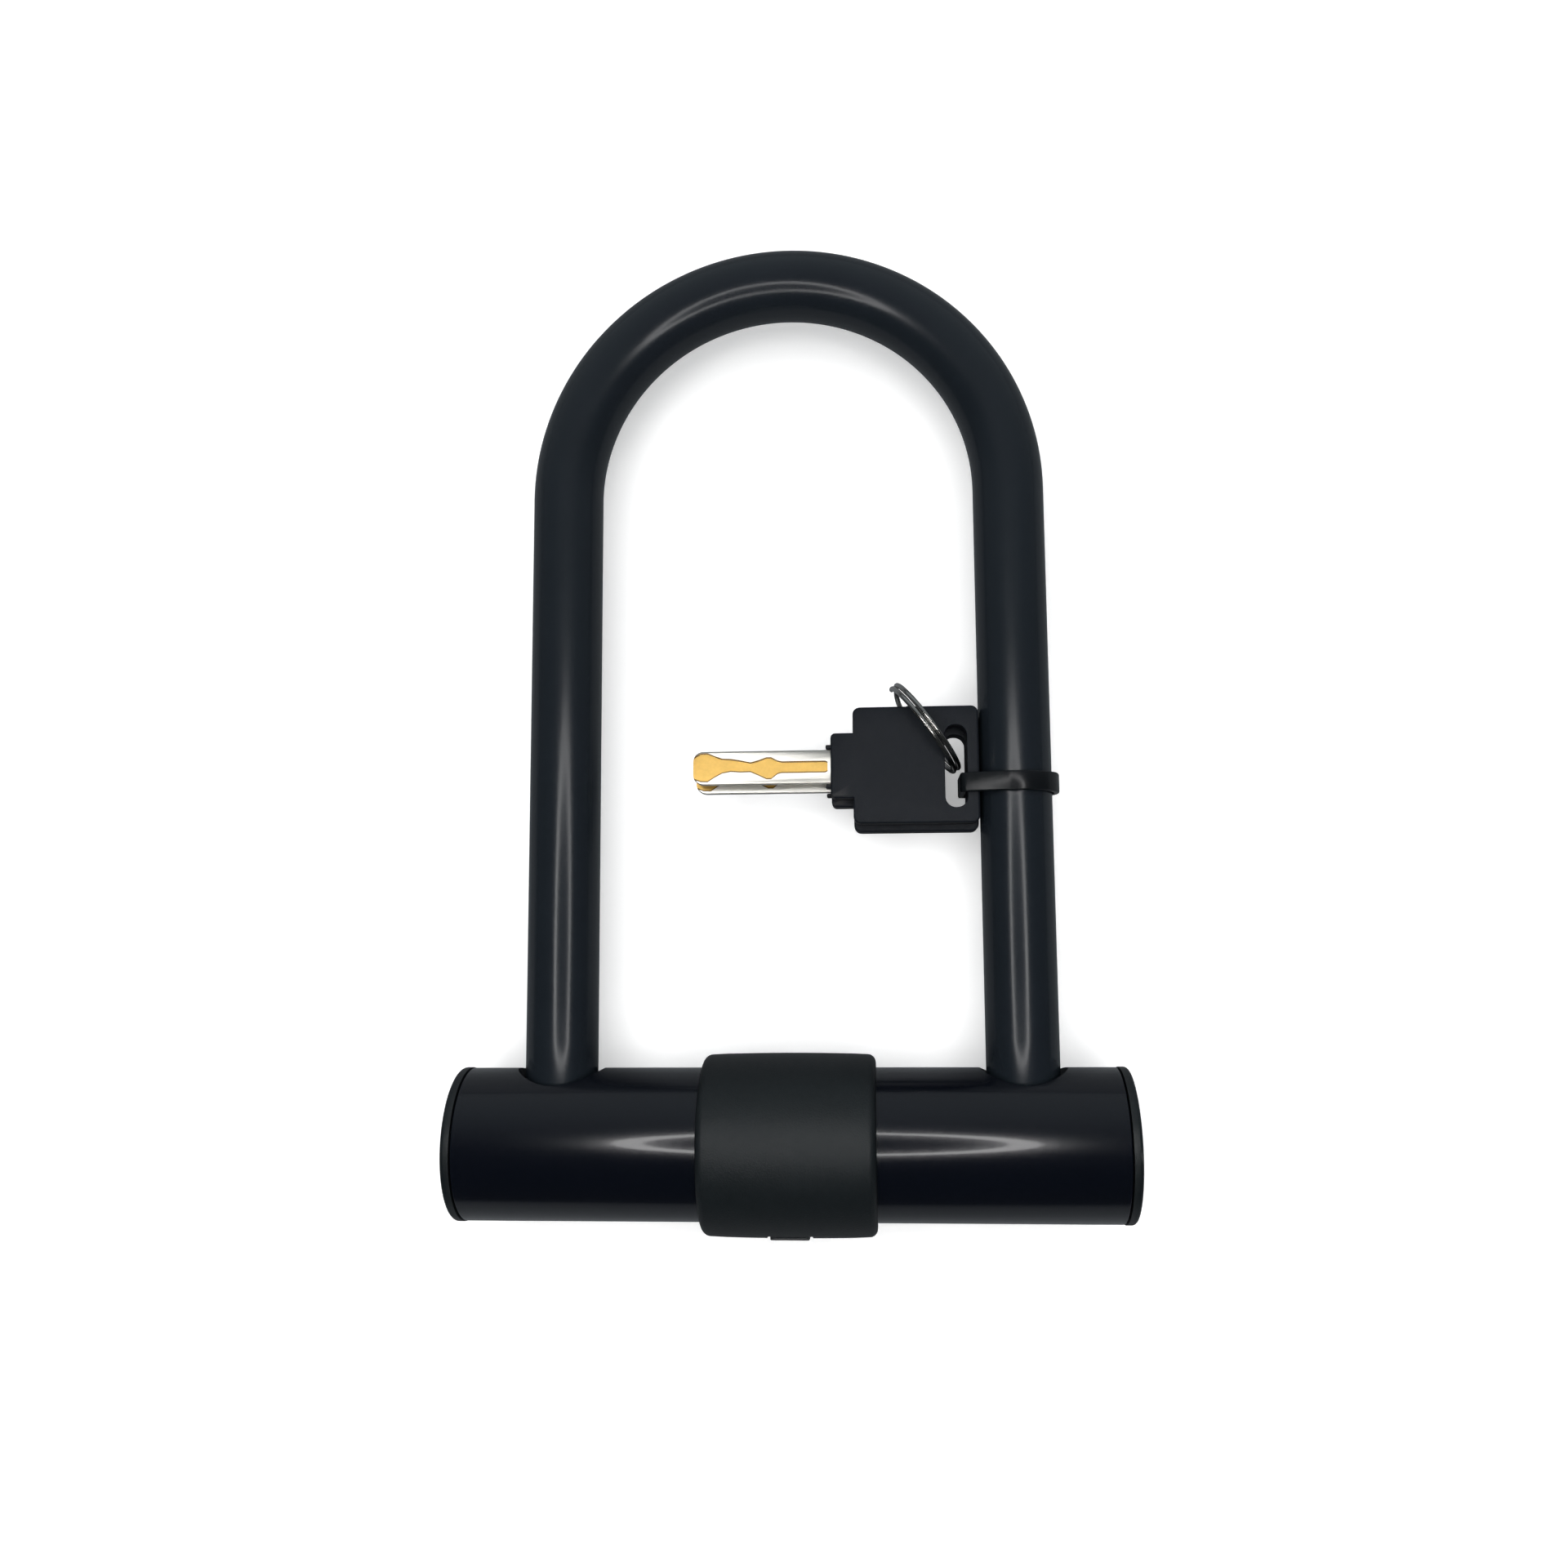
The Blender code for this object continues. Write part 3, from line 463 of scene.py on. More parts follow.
def edge_group():
    """A mask of rubbed outer edges, broken up by noise."""
    inputs = {"Start": 0.53, "Patch Size": 0.002}
    tree, given, out = new_group("rubbed_edges", inputs, {"Mask": "NodeSocketFloat"})
    place = add(tree, "ShaderNodeTexCoord").outputs["Object"]
    scale = math_node(tree, "DIVIDE", 1.0, given.outputs["Patch Size"])
    noise = add(tree, "ShaderNodeTexNoise", Vector=place, Scale=scale, Detail=3.0)
    pointed = add(tree, "ShaderNodeNewGeometry").outputs["Pointiness"]
    above = math_node(tree, "SUBTRACT", pointed, given.outputs["Start"])
    steep = math_node(tree, "MULTIPLY", above, 14.0, clamp=True)
    tree.links.new(math_node(tree, "MULTIPLY", steep, noise.outputs[0]), out.inputs["Mask"])
    return tree


GROUPS = {}
MATERIALS = {}


def grouped(tree, name, **values):
    made = tree.nodes.new("ShaderNodeGroup")
    made.node_tree = GROUPS[name]
    for key, value in values.items():
        socket = made.inputs[key.replace("_", " ")]
        if isinstance(value, bpy.types.NodeSocket):
            tree.links.new(value, socket)
        else:
            socket.default_value = value
    return made


def surface(name, **values):
    """A new material with its Principled shader, for settings that are the same all over."""
    made = bpy.data.materials.new(name)
    made.use_nodes = True
    tree = made.node_tree
    shader = tree.nodes["Principled BSDF"]
    for key, value in values.items():
        shader.inputs[key.replace("_", " ")].default_value = value
    return made, tree, shader


def bumped(tree, shader, height, distance):
    bump = add(tree, "ShaderNodeBump", Height=height, Distance=distance, Strength=1.0)
    tree.links.new(bump.outputs[0], shader.inputs["Normal"])


def toned(tree, shader, tone, spread, patch, roughness, roughness_spread, edge=None):
    """Colour and roughness with slow changes, and paler rubbed edges where asked."""
    tones = grouped(
        tree, "tone", Colour=(*tone, 1.0), Spread=spread, Patch_Size=patch, Roughness=roughness,
        Roughness_Spread=roughness_spread,
    )
    shade = tones.outputs["Colour"]
    if edge:
        mask = grouped(tree, "edge", Start=edge[1]).outputs["Mask"]
        shade = mix_colour(tree, mask, shade, (*edge[0], 1.0))
    tree.links.new(shade, shader.inputs["Base Color"])
    tree.links.new(tones.outputs["Roughness"], shader.inputs["Roughness"])


def black_plastic(name, tone, roughness, grain, depth, edge_tone=0.05, shine=0.5):
    made, tree, shader = surface(name, Specular_IOR_Level=shine)
    toned(tree, shader, tone, 0.22, 9 * MM, roughness, 0.05, ((edge_tone,) * 3, 0.54))
    bumped(tree, shader, grouped(tree, "grain", Grain_Size=grain).outputs["Height"], depth)
    return made


def bare_metal(name, tone, roughness, pitch, depth):
    made, tree, shader = surface(name, Metallic=1.0)
    toned(tree, shader, tone, 0.12, 3 * MM, roughness, 0.08)
    lines = grouped(tree, "lines", Pitch_X=pitch[0], Pitch_Y=pitch[1], Pitch_Z=pitch[2])
    bumped(tree, shader, lines.outputs["Height"], depth)
    return made


def cast_metal(name, tone):
    made, tree, shader = surface(name, Metallic=1.0)
    toned(tree, shader, tone, 0.25, 4 * MM, 0.5, 0.1)
    bumped(tree, shader, grouped(tree, "grain", Grain_Size=0.7 * MM).outputs["Height"], 0.05 * MM)
    return made


def vinyl_sleeve(name, tone):
    """Satin sleeve with faint drawing lines, soft dents and a slightly uneven gloss."""
    made, tree, shader = surface(name, Specular_IOR_Level=0.5)
    toned(tree, shader, tone, 0.14, 16 * MM, 0.21, 0.02)
    place = add(tree, "ShaderNodeTexCoord").outputs["Object"]
    dents = add(tree, "ShaderNodeTexNoise", Vector=place, Scale=70.0, Detail=1.0).outputs[0]
    lines = grouped(tree, "lines", Pitch_X=0.8 * MM, Pitch_Y=60 * MM, Pitch_Z=0.8 * MM).outputs["Height"]
    height = math_node(tree, "MULTIPLY_ADD", lines, 0.06)
    tree.links.new(dents, height.node.inputs[2])
    bumped(tree, shader, height, 0.014 * MM)
    return made


def gloss_paint(name, tone):
    """Gloss paint: orange peel under a clear coat."""
    made, tree, shader = surface(name, Coat_Weight=0.35, Coat_Roughness=0.06)
    toned(tree, shader, tone, 0.15, 30 * MM, 0.2, 0.03)
    place = add(tree, "ShaderNodeTexCoord").outputs["Object"]
    peel = add(tree, "ShaderNodeTexNoise", Vector=place, Scale=420.0, Detail=1.5).outputs[0]
    bumped(tree, shader, peel, 0.012 * MM)
    return made


def blade_metal(name, outer, inner, middle, half):
    """Nickel faces, a gold groove and painted shade round its mouth: the colour follows the depth below the
    face.
    """
    made, tree, shader = surface(name, Metallic=1.0)
    place = add(tree, "ShaderNodeTexCoord").outputs
    height = add(tree, "ShaderNodeSeparateXYZ", Vector=place["Object"]).outputs["Z"]
    facing = add(tree, "ShaderNodeSeparateXYZ", Vector=place["Normal"]).outputs["Z"]
    side = math_node(tree, "LESS_THAN", math_node(tree, "ABSOLUTE", facing), 0.5)
    above = math_node(tree, "ABSOLUTE", math_node(tree, "SUBTRACT", height, middle))
    face = math_node(tree, "MAXIMUM", side, math_node(tree, "GREATER_THAN", above, half - 0.04 * MM))
    # Painted shade: a dark brown band on the shallow step round the groove, from 0.04 to 0.3 mm below the face
    painted_groove_shade = math_node(tree, "GREATER_THAN", above, half - 0.3 * MM)
    tones = grouped(
        tree, "tone", Colour=(*outer, 1.0), Spread=0.03, Patch_Size=3 * MM, Roughness=0.3,
        Roughness_Spread=0.04,
    )
    golds = grouped(tree, "tone", Colour=(*inner, 1.0), Spread=0.15, Patch_Size=1.2 * MM)
    below = mix_colour(tree, painted_groove_shade, golds.outputs["Colour"], (0.16, 0.09, 0.025, 1.0))
    tree.links.new(mix_colour(tree, face, below, tones.outputs["Colour"]), shader.inputs["Base Color"])
    tree.links.new(tones.outputs["Roughness"], shader.inputs["Roughness"])
    lines = grouped(tree, "lines", Pitch_X=9 * MM, Pitch_Y=0.07 * MM, Pitch_Z=0.07 * MM)
    bumped(tree, shader, lines.outputs["Height"], 0.002 * MM)
    return made


def make_materials(colours):
    GROUPS.update(grain=grain_group(), tone=tone_group(), lines=line_group(), edge=edge_group())
    MATERIALS.update(
        vinyl=vinyl_sleeve("satin_vinyl", colours.vinyl),
        paint=gloss_paint("gloss_paint", colours.paint),
        collar=black_plastic("collar_plastic", colours.plastic, 0.5, 0.35 * MM, 0.035 * MM),
        cap=black_plastic("cap_plastic", colours.plastic, 0.42, 0.5 * MM, 0.02 * MM),
        bow=black_plastic("bow_plastic", colours.bow, 0.5, 0.3 * MM, 0.03 * MM, edge_tone=0.03, shine=0.26),
        nylon=black_plastic(
            "glossy_nylon", colours.nylon, 0.24, 1.2 * MM, 0.012 * MM, edge_tone=0.02, shine=0.4
        ),
        rubber=black_plastic("seal_rubber", colours.rubber, 0.75, 0.25 * MM, 0.03 * MM, edge_tone=0.02),
        steel=bare_metal("drawn_steel", colours.steel, 0.3, (0.12 * MM, 4 * MM, 0.12 * MM), 0.006 * MM),
        pin=bare_metal("ground_steel", colours.steel, 0.26, (0.1 * MM, 0.1 * MM, 3 * MM), 0.005 * MM),
        ring=bare_metal("ring_steel", colours.ring_steel, 0.2, (0.4 * MM, 0.4 * MM, 0.4 * MM), 0.008 * MM),
        brass=bare_metal("turned_brass", colours.brass, 0.3, (0.25 * MM, 6 * MM, 0.25 * MM), 0.008 * MM),
        zinc=cast_metal("cast_zinc", colours.zinc),
    )


# Operators: one for each piece or group of like pieces


class LockOperator:
    bl_options = {"REGISTER", "UNDO"}

    def execute(self, context):
        self.build(context.scene.lock_sizes, context.scene.lock_colours)
        return {"FINISHED"}


class LOCK_OT_materials(LockOperator, bpy.types.Operator):
    """Makes the shared effects and the finishes of the lock"""

    bl_idname = "lock.materials"
    bl_label = "Finishes"

    def build(self, sizes, colours):
        make_materials(colours)


class LOCK_OT_shackle_sleeve(LockOperator, bpy.types.Operator):
    """Makes the vinyl sleeve over the shackle: up one leg, round the bend and down the other"""

    bl_idname = "lock.shackle_sleeve"
    bl_label = "Shackle Sleeve"

    def build(self, sizes, colours):
        deselect()
        start = (LEG_X, COAT_LOW.y, BAR.z)
        bpy.ops.mesh.primitive_circle_add(
            vertices=64, radius=COAT_RADIUS, location=start, rotation=(math.pi / 2, 0, 0)
        )
        sleeve = settle(bpy.context.object)
        edit(sleeve)
        bpy.ops.mesh.select_mode(type="EDGE")
        bpy.ops.mesh.select_all(action="SELECT")
        leg = BEND_Y - COAT_LOW.y
        steps = 12
        for _ in range(steps):
            bpy.ops.mesh.extrude_edges_move(TRANSFORM_OT_translate={"value": (0, leg / steps, 0)})
        spin(math.pi, 96, (0, BEND_Y, BAR.z), (0, 0, 1))
        for _ in range(steps):
            bpy.ops.mesh.extrude_edges_move(TRANSFORM_OT_translate={"value": (0, -leg / steps, 0)})
        tidy_normals()
        modify(sleeve, "SOLIDIFY", thickness=sizes.coat_wall, offset=-1.0, use_even_offset=True)
        modify(
            sleeve, "BEVEL", width=0.35 * MM, segments=3, limit_method="ANGLE", angle_limit=math.radians(60)
        )
        done(sleeve, "shackle_sleeve", MATERIALS["vinyl"], "shackle", "vinyl_coat", "shackle_coat")


class LOCK_OT_crossbar_skin(LockOperator, bpy.types.Operator):
    """Makes the painted tube of the crossbar with its leg holes, keyhole and pin holes"""

    bl_idname = "lock.crossbar_skin"
    bl_label = "Crossbar Tube"

    def build(self, sizes, colours):
        outer, inner, half = TUBE_RADIUS, TUBE_RADIUS - sizes.tube_wall, TUBE_HALF
        edge = 0.4 * MM
        rings = [
            *rounding(outer - edge, half - edge, edge, 90, 0, 3),
            *rounding(outer - edge, edge - half, edge, 0, -90, 3),
            (inner, -half), (inner, half), (outer - edge, half),
        ]
        tube = turned("crossbar_skin", rings, sizes.sides)
        far = 2 * TUBE_RADIUS
        holes = []
        for sign in (-1, 1):
            leg = BAR + Vector((sign * LEG_X, 0, 0))
            holes.append(drum("leg_hole", COAT_RADIUS + sizes.leg_play, leg, leg + Vector((0, far, 0)), 64))
            pin = BAR + Vector((sign * GUIDE_PIN_X, 0, 0))
            holes.append(drum("pin_hole", sizes.pin_hole, pin, pin - Vector((0, 0, far)), 32))
        holes.append(drum("keyhole", sizes.keyhole, BAR, BAR - Vector((0, far, 0)), 64))
        combine(tube, *holes)
        done(tube, "crossbar_skin", MATERIALS["paint"], "crossbar", "black_paint", "crossbar_tube")


class LOCK_OT_end_caps(LockOperator, bpy.types.Operator):
    """Makes the two end caps: a dished face, a rounded rim and a spigot inside the tube"""

    bl_idname = "lock.end_caps"
    bl_label = "End Caps"

    def build(self, sizes, colours):
        rim, face = TUBE_HALF + GAP, TUBE_HALF + CAP_THICKNESS
        radius, edge, dish = TUBE_RADIUS + 0.15 * MM, 0.9 * MM, TUBE_RADIUS - 3.2 * MM
        spigot = TUBE_RADIUS - sizes.tube_wall - GAP
        rings = [
            (4.0 * MM, face - sizes.cap_recess),
            (dish - 0.7 * MM, face - sizes.cap_recess), (dish, face - 0.15 * MM), (dish + 0.35 * MM, face),
            *rounding(radius - edge, face - edge, edge, 90, 0, 5),
            (radius, rim), (spigot, rim), (spigot, rim - 6.0 * MM), (spigot - 2.0 * MM, rim - 6.0 * MM),
            (spigot - 2.0 * MM, rim - 0.5 * MM), (4.0 * MM, rim - 0.5 * MM),
        ]
        right = turned("end_cap", rings, 96, ends=True)
        left = copied(right, "end_cap_left_moulding")
        left.scale.x = -1
        settle(left)
        edit(left)
        tidy_normals()
        for side, cap in (("left", left), ("right", right)):
            done(
                cap, f"end_cap_{side}_moulding", MATERIALS["cap"], "crossbar", "charcoal_plastic",
                f"end_cap_{side}",
            )


class LOCK_OT_collar(LockOperator, bpy.types.Operator):
    """Makes the collar over the lock cylinder, with the window and track of the dust cover"""

    bl_idname = "lock.collar"
    bl_label = "Collar"

    def build(self, sizes, colours):
        half, size, crown = COLLAR_HALF, sizes.collar_round, COLLAR_CROWN
        inner = COLLAR_RADIUS - sizes.collar_wall
        shoulder, edge = half - size, COLLAR_RADIUS - crown
        along = [shoulder * (4 - i) / 5 for i in range(9)]
        rings = [
            *rounding(edge - size, shoulder, size, 90, 0, 6),
            *((COLLAR_RADIUS - crown * (x / half) ** 2, x) for x in along),
            *rounding(edge - size, -shoulder, size, 0, -90, 6),
            (inner, -half), (inner, half), (edge - size, half),
        ]
        collar = turned("collar_moulding", rings, sizes.sides)
        window = swept("window", inner - 1 * MM, COLLAR_RADIUS + 3 * MM, 5.65 * MM, -21, 66, 29)
        pocket = swept("pocket", inner - 0.3 * MM, COLLAR_RADIUS - 1.5 * MM, 7.8 * MM, -26, 71, 29)
        combine(window, pocket, operation="UNION")
        combine(collar, window)
        done(collar, "collar_moulding", MATERIALS["collar"], "crossbar", "charcoal_plastic", "collar")
        modify(collar, "WEIGHTED_NORMAL", keep_sharp=True)
        deselect()


class LOCK_OT_dust_cover(LockOperator, bpy.types.Operator):
    """Makes the sliding dust cover over the keyhole, with its ribbed grip"""

    bl_idname = "lock.dust_cover"
    bl_label = "Dust Cover"

    def build(self, sizes, colours):
        flange = swept("flange", 19.1 * MM, 20.3 * MM, 7.5 * MM, -FLANGE_ARC, FLANGE_ARC, 24)
        base = GRIP_RADIUS - sizes.rib_height
        grip = swept("grip", 19.7 * MM, base, 4.65 * MM, -GRIP_ARC, GRIP_ARC, GRIP_ARC)
        edit(grip)

        def rib(middle, normal):
            outward = Vector((0, middle.y - BAR.y, middle.z - BAR.z)).normalized()
            turn = round(math.degrees(math.atan2(-outward.z, -outward.y)) / 2)
            return normal.dot(outward) > 0.99 and turn % 2 == 0

        pick_faces(rib)
        bpy.ops.mesh.extrude_region_shrink_fatten(TRANSFORM_OT_shrink_fatten={"value": sizes.rib_height})
        deselect()
        modify(grip, "BEVEL", width=0.14 * MM, segments=2, limit_method="ANGLE", angle_limit=math.radians(50))
        combine(grip, flange, operation="UNION")
        done(grip, "dust_cover_moulding", MATERIALS["cap"], "dust_cover", "charcoal_plastic", "shutter")


class LOCK_OT_key_bows(LockOperator, bpy.types.Operator):
    """Makes the two plastic key bows, each with its boss, tie slot and nubs beside the blade"""

    bl_idname = "lock.key_bows"
    bl_label = "Key Bows"

    def build(self, sizes, colours):
        for number in (1, 2):
            low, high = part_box(f"key_{number}_bow")
            boss = low.x + BOSS_LENGTH
            middle = (low + high) / 2
            bow = block("bow", (boss, low.y, low.z), high)
            round_edges(bow, 2, BOW_ROUND, 6)
            step = block(
                "boss", (low.x, middle.y - HALF_BOSS, low.z), (boss + 3 * MM, middle.y + HALF_BOSS, high.z)
            )
            round_edges(step, 2, BOSS_ROUND, 5, lambda p: p.x < boss)
            for piece in (bow, step):
                modify(
                    piece, "BEVEL", width=sizes.bow_edge, segments=3, limit_method="ANGLE",
                    angle_limit=math.radians(60),
                )
            combine(bow, step, operation="UNION")
            right = high.x - SLOT_STRIP
            slot_middle, slot_half = middle.y - SLOT_DROP, SLOT_HALF
            slot = block(
                "slot", (right - SLOT_WIDTH, slot_middle - slot_half, low.z - MM),
                (right, slot_middle + slot_half, high.z + MM),
            )
            round_edges(slot, 2, 2.6 * MM, 8)
            flare = block(
                "flare", (right - 5.9 * MM, slot_middle - slot_half - 0.4 * MM, high.z - 0.4 * MM),
                (right + 0.4 * MM, slot_middle + slot_half + 0.4 * MM, high.z + 0.4 * MM),
            )
            round_edges(flare, 2, 2.9 * MM, 8)
            edit(flare)
            pick_faces(lambda place, normal: normal.z < -0.9)
            bpy.ops.transform.resize(
                value=(5.2 / 6.3, 20.3 / 21.4, 1), center_override=(right - 2.75 * MM, slot_middle, high.z)
            )
            under = copied(flare, "flare_under")
            under.matrix_world = Matrix.Translation((0, 0, 2 * middle.z)) @ Matrix.Diagonal((1, 1, -1, 1))
            settle(under)
            edit(under)
            tidy_normals()
            tang = block(
                "tang", (low.x - MM, middle.y - 4.5 * MM, middle.z - 1.6 * MM),
                (low.x + 14.3 * MM, middle.y + 4.5 * MM, middle.z + 1.6 * MM),
            )
            combine(bow, slot, flare, under, tang)
            for sign in (-1, 1):
                nub_y = middle.y + sign * 5.0 * MM
                nub = block(
                    "nub", (low.x - 1.3 * MM, nub_y - 0.55 * MM, middle.z - 1.0 * MM),
                    (low.x + 0.6 * MM, nub_y + 0.55 * MM, middle.z + 1.0 * MM),
                )
                modify(nub, "BEVEL", width=0.35 * MM, segments=3)
                combine(bow, nub, operation="UNION")
            done(
                bow, f"key_{number}_bow_moulding", MATERIALS["bow"], "keys", "key_plastic", f"key_{number}_bow"
            )


# Snake groove of a blade, in millimetres: from the tip, middle above the blade's, width
GROOVE = (
    (-0.6, 0.0, 4.2), (0.6, 0.0, 5.4), (2.0, 0.15, 6.7), (3.7, 0.15, 6.8),
    (5.5, 0.35, 4.9), (7.4, 0.5, 3.2), (9.6, 0.65, 2.7), (12.0, 0.35, 2.5),
    (14.6, 0.1, 1.9), (16.6, -0.1, 3.3), (18.6, -0.2, 5.0), (19.8, -0.2, 5.0),
    (21.4, 0.0, 2.9), (22.4, 0.0, 2.4), (33.4, 0.0, 2.4), (34.0, 0.0, 1.8),
)


class LOCK_OT_key_blades(LockOperator, bpy.types.Operator):
    """Makes the two blades: rounded at the tip, with a snake groove in each face"""

    bl_idname = "lock.key_blades"
    bl_label = "Key Blades"

    def groove(self, margin, place, height):
        """A cutter in the shape of the groove, its bottom at a place; a margin makes it wider."""
        deselect()
        bpy.ops.mesh.primitive_grid_add(x_subdivisions=len(GROOVE) - 1, y_subdivisions=1, size=1.0)
        cutter = bpy.context.object
        edit(cutter)
        columns = [-0.5 + i / (len(GROOVE) - 1) for i in range(len(GROOVE))]
        for column, (along, offset, width) in reversed(list(zip(columns, GROOVE))):
            pick_edges(lambda a, b: abs(a.x - column) < 1e-4 and abs(b.x - column) < 1e-4)
            bpy.ops.transform.resize(value=(1, width * MM + margin, 1), center_override=(column, 0, 0))
            bpy.ops.transform.translate(value=(10 + along * MM - column, offset * MM, 0))
        bpy.ops.mesh.select_all(action="SELECT")
        bpy.ops.transform.translate(value=Vector(place) - Vector((10, 0, 0)))
        bpy.ops.mesh.extrude_region_move(TRANSFORM_OT_translate={"value": (0, 0, height)})
        tidy_normals()
        deselect()
        return cutter

    def build(self, sizes, colours):
        for number in (1, 2):
            low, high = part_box(f"key_{number}_blade")
            middle, half = (low + high) / 2, (high.z - low.z) / 2
            blade = block("blade", low, high)
            round_edges(blade, 2, BLADE_ROUND, 7)
            modify(
                blade, "BEVEL", width=0.22 * MM, segments=2, limit_method="ANGLE",
                angle_limit=math.radians(60),
            )
            for margin, depth in ((0.6 * MM, 0.15 * MM), (0.0, sizes.groove_depth)):
                groove = self.groove(margin, (low.x, middle.y, high.z - depth), 2 * half)
                under = copied(groove, "groove_under")
                under.matrix_world = Matrix.Translation((0, 0, 2 * middle.z)) @ Matrix.Diagonal((1, 1, -1, 1))
                settle(under)
                edit(under)
                tidy_normals()
                combine(blade, groove, under)
            finish = blade_metal(f"blade_metal_{number}", colours.nickel, colours.gold, middle.z, half)
            done(
                blade, f"key_{number}_blade_cut", finish, "keys", "nickel_brass", f"key_{number}_blade"
            )


class LOCK_OT_key_ring(LockOperator, bpy.types.Operator):
    """Makes the split ring: two flattened coils side by side with one step across"""

    bl_idname = "lock.key_ring"
    bl_label = "Split Ring"

    def build(self, sizes, colours):
        wire, radius, pitch = sizes.ring_wire, RING_RADIUS, sizes.ring_wire + COIL_GAP
        deselect()
        bpy.ops.mesh.primitive_circle_add(
            vertices=16, radius=wire / 2, location=(radius, 0, 0), rotation=(math.pi / 2, 0, 0),
            fill_type="NGON",
        )
        ring = settle(bpy.context.object)
        edit(ring)
        bpy.ops.mesh.select_all(action="SELECT")
        bpy.ops.transform.translate(value=(0, 0, -pitch / 2))
        centre, axis = (0, 0, 0), (0, 0, 1)
        spin(math.radians(360 - RING_STEP), 93, centre, axis)
        steps = 16
        for i in range(steps):
            spin(math.radians(RING_STEP / steps), 1, centre, axis)
            rise = [(j / steps) ** 2 * (3 - 2 * j / steps) for j in (i, i + 1)]
            bpy.ops.transform.translate(value=(0, 0, pitch * (rise[1] - rise[0])))
        spin(math.radians(360 - RING_STEP), 93, centre, axis)
        tidy_normals()
        deselect()
        ring.rotation_euler = Vector(RING_JOINT["axis"]).to_track_quat("Z", "Y").to_euler()
        ring.location = RING_JOINT["pos_m"]
        done(ring, "split_ring", MATERIALS["ring"], "ring", "ring_steel", "key_ring", angle=50)


class LOCK_OT_cable_tie(LockOperator, bpy.types.Operator):
    """Makes the cable tie: a band hollowed from a hull of three posts, with its head and tail.
    The three are joined as overlapping shells, because a union loses the band."""

    bl_idname = "lock.cable_tie"
    bl_label = "Cable Tie"

    def hull(self, clearance, low, high, corner):
        posts = [(LEG_X, BAR.z, COAT_RADIUS), (corner.x, corner.z, 0), (corner.x, 2 * BAR.z - corner.z, 0)]
        made = [
            drum("post", radius + clearance, (x, low, z), (x, high, z), 96 if radius else 24)
            for x, z, radius in posts
        ]
        deselect()
        for post in made:
            post.select_set(True)
        bpy.context.view_layer.objects.active = made[0]
        bpy.ops.object.join()
        body = bpy.context.object
        edit(body)
        bpy.ops.mesh.select_all(action="SELECT")
        bpy.ops.mesh.convex_hull()
        tidy_normals()
        deselect()
        return body

    def build(self, sizes, colours):
        slot_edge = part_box("key_1_bow")[1].x - SLOT_STRIP
        corner = Vector((slot_edge, 0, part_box("key_1_bow")[1].z))
        middle, half = (TIE_LOW.y + TIE_HIGH.y) / 2, TIE_HALF
        play, strap = TIE_PLAY, sizes.strap
        band = self.hull(play + strap, middle - half, middle + half, corner)
        edit(band)
        pick_faces(lambda place, normal: abs(normal.y) > 0.9)
        bpy.ops.mesh.region_to_loop()
        bpy.ops.mesh.bevel(offset=0.35 * MM, segments=3, profile=0.5, affect="EDGES")
        deselect()
        combine(band, self.hull(play, middle - 2 * half, middle + 2 * half, corner))
        reach = COAT_RADIUS + play + strap / 2
        head = block("head", (reach, -3.2 * MM, -3.3 * MM), (reach + 4.6 * MM, 3.2 * MM, 3.3 * MM))
        modify(head, "BEVEL", width=0.7 * MM, segments=4)
        side = half + 0.25 * MM
        mouth = block("mouth", (reach + strap, -side, 2.4 * MM), (reach + 2.4 * strap, side, 5 * MM))
        combine(head, mouth)
        tail = block("tail", (reach + 1.2 * strap, -half, -2 * MM), (reach + 2.2 * strap, half, 6.3 * MM))
        edit(tail)
        bpy.ops.mesh.select_all(action="SELECT")
        bpy.ops.mesh.subdivide(number_cuts=11)
        pick_faces(
            lambda place, normal: normal.x > 0.9 and abs(place.y) < 1.4 * MM and place.z > 3 * MM
            and round(place.z / (0.69 * MM)) % 2
        )
        bpy.ops.mesh.extrude_region_shrink_fatten(TRANSFORM_OT_shrink_fatten={"value": -0.2 * MM})
        tidy_normals()
        deselect()
        activate(tail)
        head.select_set(True)
        bpy.ops.object.join()
        tail.rotation_euler = (0, math.radians(TIE_HEAD_TURN), 0)
        tail.location = (LEG_X, middle, BAR.z)
        settle(tail)
        band.select_set(True)
        bpy.context.view_layer.objects.active = band
        bpy.ops.object.join()
        done(band, "cable_tie_moulding", MATERIALS["nylon"], "keys", "black_nylon", "cable_tie", angle=40)


class LOCK_OT_metalwork(LockOperator, bpy.types.Operator):
    """Gives the shackle bar, lock cylinder, bolts, pins and seals their finishes"""

    bl_idname = "lock.metalwork"
    bl_label = "Metalwork"

    def build(self, sizes, colours):
        finishes = {
            "steel": ["shackle_bar", "cam"],
            "pin": ["bolt_left", "bolt_right", "guide_pin_left", "guide_pin_right", "housing_pin_left",
                    "housing_pin_right", "drive_pin_left", "drive_pin_right"],
            "brass": ["cylinder_shell", "plug", *(f"wafer_{i}" for i in range(1, 7))],
            "zinc": ["core_housing", "foot_guide_left", "foot_guide_right"],
            "rubber": ["leg_seal_left", "leg_seal_right"],
        }
        for finish, names in finishes.items():
            for name in names:
                slots = frame["nodes"][name].data.materials
                slots.clear()
                slots.append(MATERIALS[finish])


def ceiling_light(height, energy, side):
    """A square light over the lock, left out of reflections."""
    data = bpy.data.lights.new("ceiling", "AREA")
    data.energy = energy
    data.shape = "RECTANGLE"
    data.size = data.size_y = side
    made = bpy.data.objects.new("ceiling", data)
    made.location = (0, 0, height)
    made.rotation_euler = Vector((0, 0, -height)).to_track_quat("-Z", "Y").to_euler()
    made.visible_glossy = False
    bpy.context.scene.collection.objects.link(made)


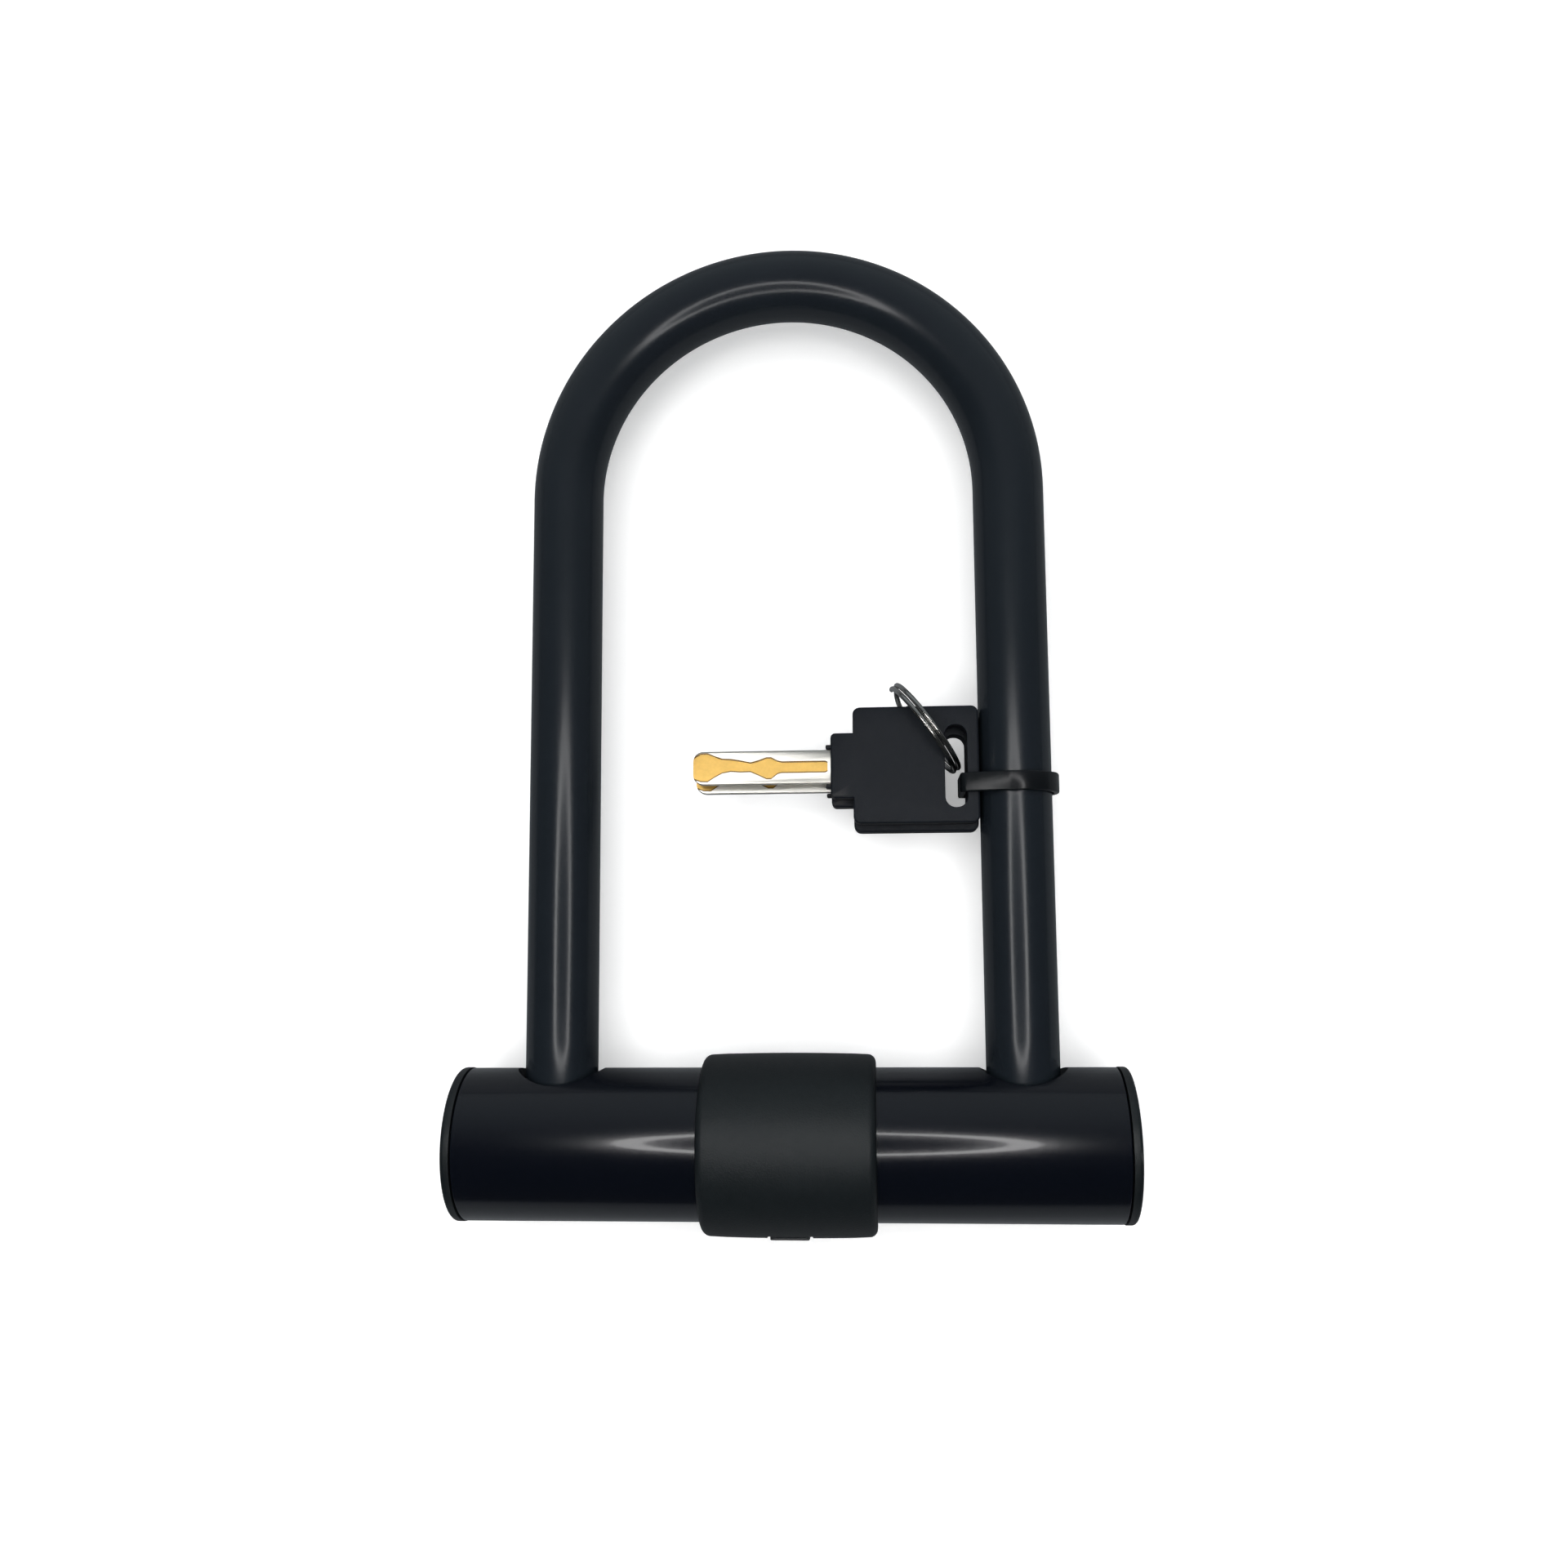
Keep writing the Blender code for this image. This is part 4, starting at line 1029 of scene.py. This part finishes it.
class LOCK_OT_stage(LockOperator, bpy.types.Operator):
    """Makes the floor, the lights and the camera"""

    bl_idname = "lock.stage"
    bl_label = "Stage"

    def build(self, sizes, colours):
        scene = bpy.context.scene
        scene.view_settings.view_transform = "Standard"
        world = bpy.data.worlds.new("pale_room")
        world.use_nodes = True
        tree = world.node_tree
        direction = add(tree, "ShaderNodeTexCoord").outputs["Generated"]
        ahead = add(tree, "ShaderNodeSeparateXYZ", Vector=direction).outputs["Y"]
        rise = add(tree, "ShaderNodeMapRange", settings={"interpolation_type": "SMOOTHSTEP"}, Value=ahead)
        for name, value in (("From Min", -0.1), ("From Max", 1.0), ("To Min", 0.02), ("To Max", 0.32)):
            rise.inputs[name].default_value = value
        tree.links.new(rise.outputs[0], tree.nodes["Background"].inputs["Strength"])
        tree.nodes["Background"].inputs["Color"].default_value = (0.86, 0.95, 1.0, 1.0)
        scene.world = world

        deselect()
        bpy.ops.mesh.primitive_grid_add(x_subdivisions=8, y_subdivisions=8, size=6.0, location=(0, 0, 0))
        floor = bpy.context.object
        floor.name = "floor"
        made, tree, shader = surface("pale_floor", Roughness=0.8, Specular_IOR_Level=0.1)
        tones = grouped(
            tree, "tone", Colour=(*colours.floor, 1.0), Spread=0.01, Patch_Size=0.2, Roughness=0.8
        )
        # Painted reflection: in glossy rays the floor shows a darker grey than its own colour
        mirrored = add(tree, "ShaderNodeLightPath").outputs["Is Glossy Ray"]
        shade = mix_colour(tree, mirrored, tones.outputs["Colour"], (0.16, 0.17, 0.18, 1.0))
        tree.links.new(shade, shader.inputs["Base Color"])
        # Painted light: the floor glows faintly, except in reflections, which pales the shadows cast on it
        shader.inputs["Emission Color"].default_value = (1, 1, 1, 1)
        lift = math_node(tree, "MULTIPLY_ADD", mirrored, -0.3)
        lift.node.inputs[2].default_value = 0.3
        tree.links.new(lift, shader.inputs["Emission Strength"])
        floor.data.materials.append(made)

        bpy.ops.mesh.primitive_torus_add(
            major_radius=1.0, minor_radius=0.09, major_segments=96, minor_segments=16,
            location=BAR + Vector(HALO_PLACE),
        )
        halo = bpy.context.object
        halo.name = "ring_light"
        halo.scale = HALO_SIZE
        glow, tree, shader = surface("ring_glow", Emission_Color=(1, 1, 1, 1), Emission_Strength=9.0)
        shader.inputs["Base Color"].default_value = (0, 0, 0, 1)
        halo.data.materials.append(glow)
        halo.visible_camera = False

        ceiling_light(1.6, 34.0, 1.9)

        camera = bpy.data.objects.new("camera", bpy.data.cameras.new("camera"))
        camera.data.lens = CAMERA_LENS
        camera.data.sensor_width = 36.0
        camera.data.clip_start = 0.01
        turn = Matrix.Identity(4)
        for axis, angle in zip("XYZ", CAMERA_TURN):
            turn = turn @ Matrix.Rotation(angle, 4, axis)
        camera.matrix_world = Matrix.Translation(BAR + Vector(CAMERA_PLACE)) @ turn
        scene.collection.objects.link(camera)
        scene.camera = camera


class LOCK_PT_panel(bpy.types.Panel):
    """Lists the pieces of the lock"""

    bl_idname = "LOCK_PT_panel"
    bl_label = "U-Lock"
    bl_space_type = "VIEW_3D"
    bl_region_type = "UI"
    bl_category = "U-Lock"

    def draw(self, context):
        for step in STEPS:
            self.layout.operator(step.bl_idname)
        for group in (context.scene.lock_sizes, context.scene.lock_colours):
            for name in group.bl_rna.properties.keys():
                if name not in ("rna_type", "name"):
                    self.layout.prop(group, name)


STEPS = (
    LOCK_OT_materials,
    LOCK_OT_stage,
    LOCK_OT_shackle_sleeve,
    LOCK_OT_crossbar_skin,
    LOCK_OT_end_caps,
    LOCK_OT_collar,
    LOCK_OT_dust_cover,
    LOCK_OT_key_bows,
    LOCK_OT_key_blades,
    LOCK_OT_key_ring,
    LOCK_OT_cable_tie,
    LOCK_OT_metalwork,
)
CLASSES = (LockSizes, LockColours, *STEPS, LOCK_PT_panel)


def register():
    for item in CLASSES:
        bpy.utils.register_class(item)
    bpy.types.Scene.lock_sizes = bpy.props.PointerProperty(type=LockSizes)
    bpy.types.Scene.lock_colours = bpy.props.PointerProperty(type=LockColours)


def unregister():
    del bpy.types.Scene.lock_colours
    del bpy.types.Scene.lock_sizes
    for item in reversed(CLASSES):
        bpy.utils.unregister_class(item)


def main():
    register()
    for step in STEPS:
        group, name = step.bl_idname.split(".")
        result = getattr(getattr(bpy.ops, group), name)()
        if result != {"FINISHED"}:
            raise RuntimeError(f"{step.bl_label} was not made")
    deselect()


if __name__ == "__main__":
    main()
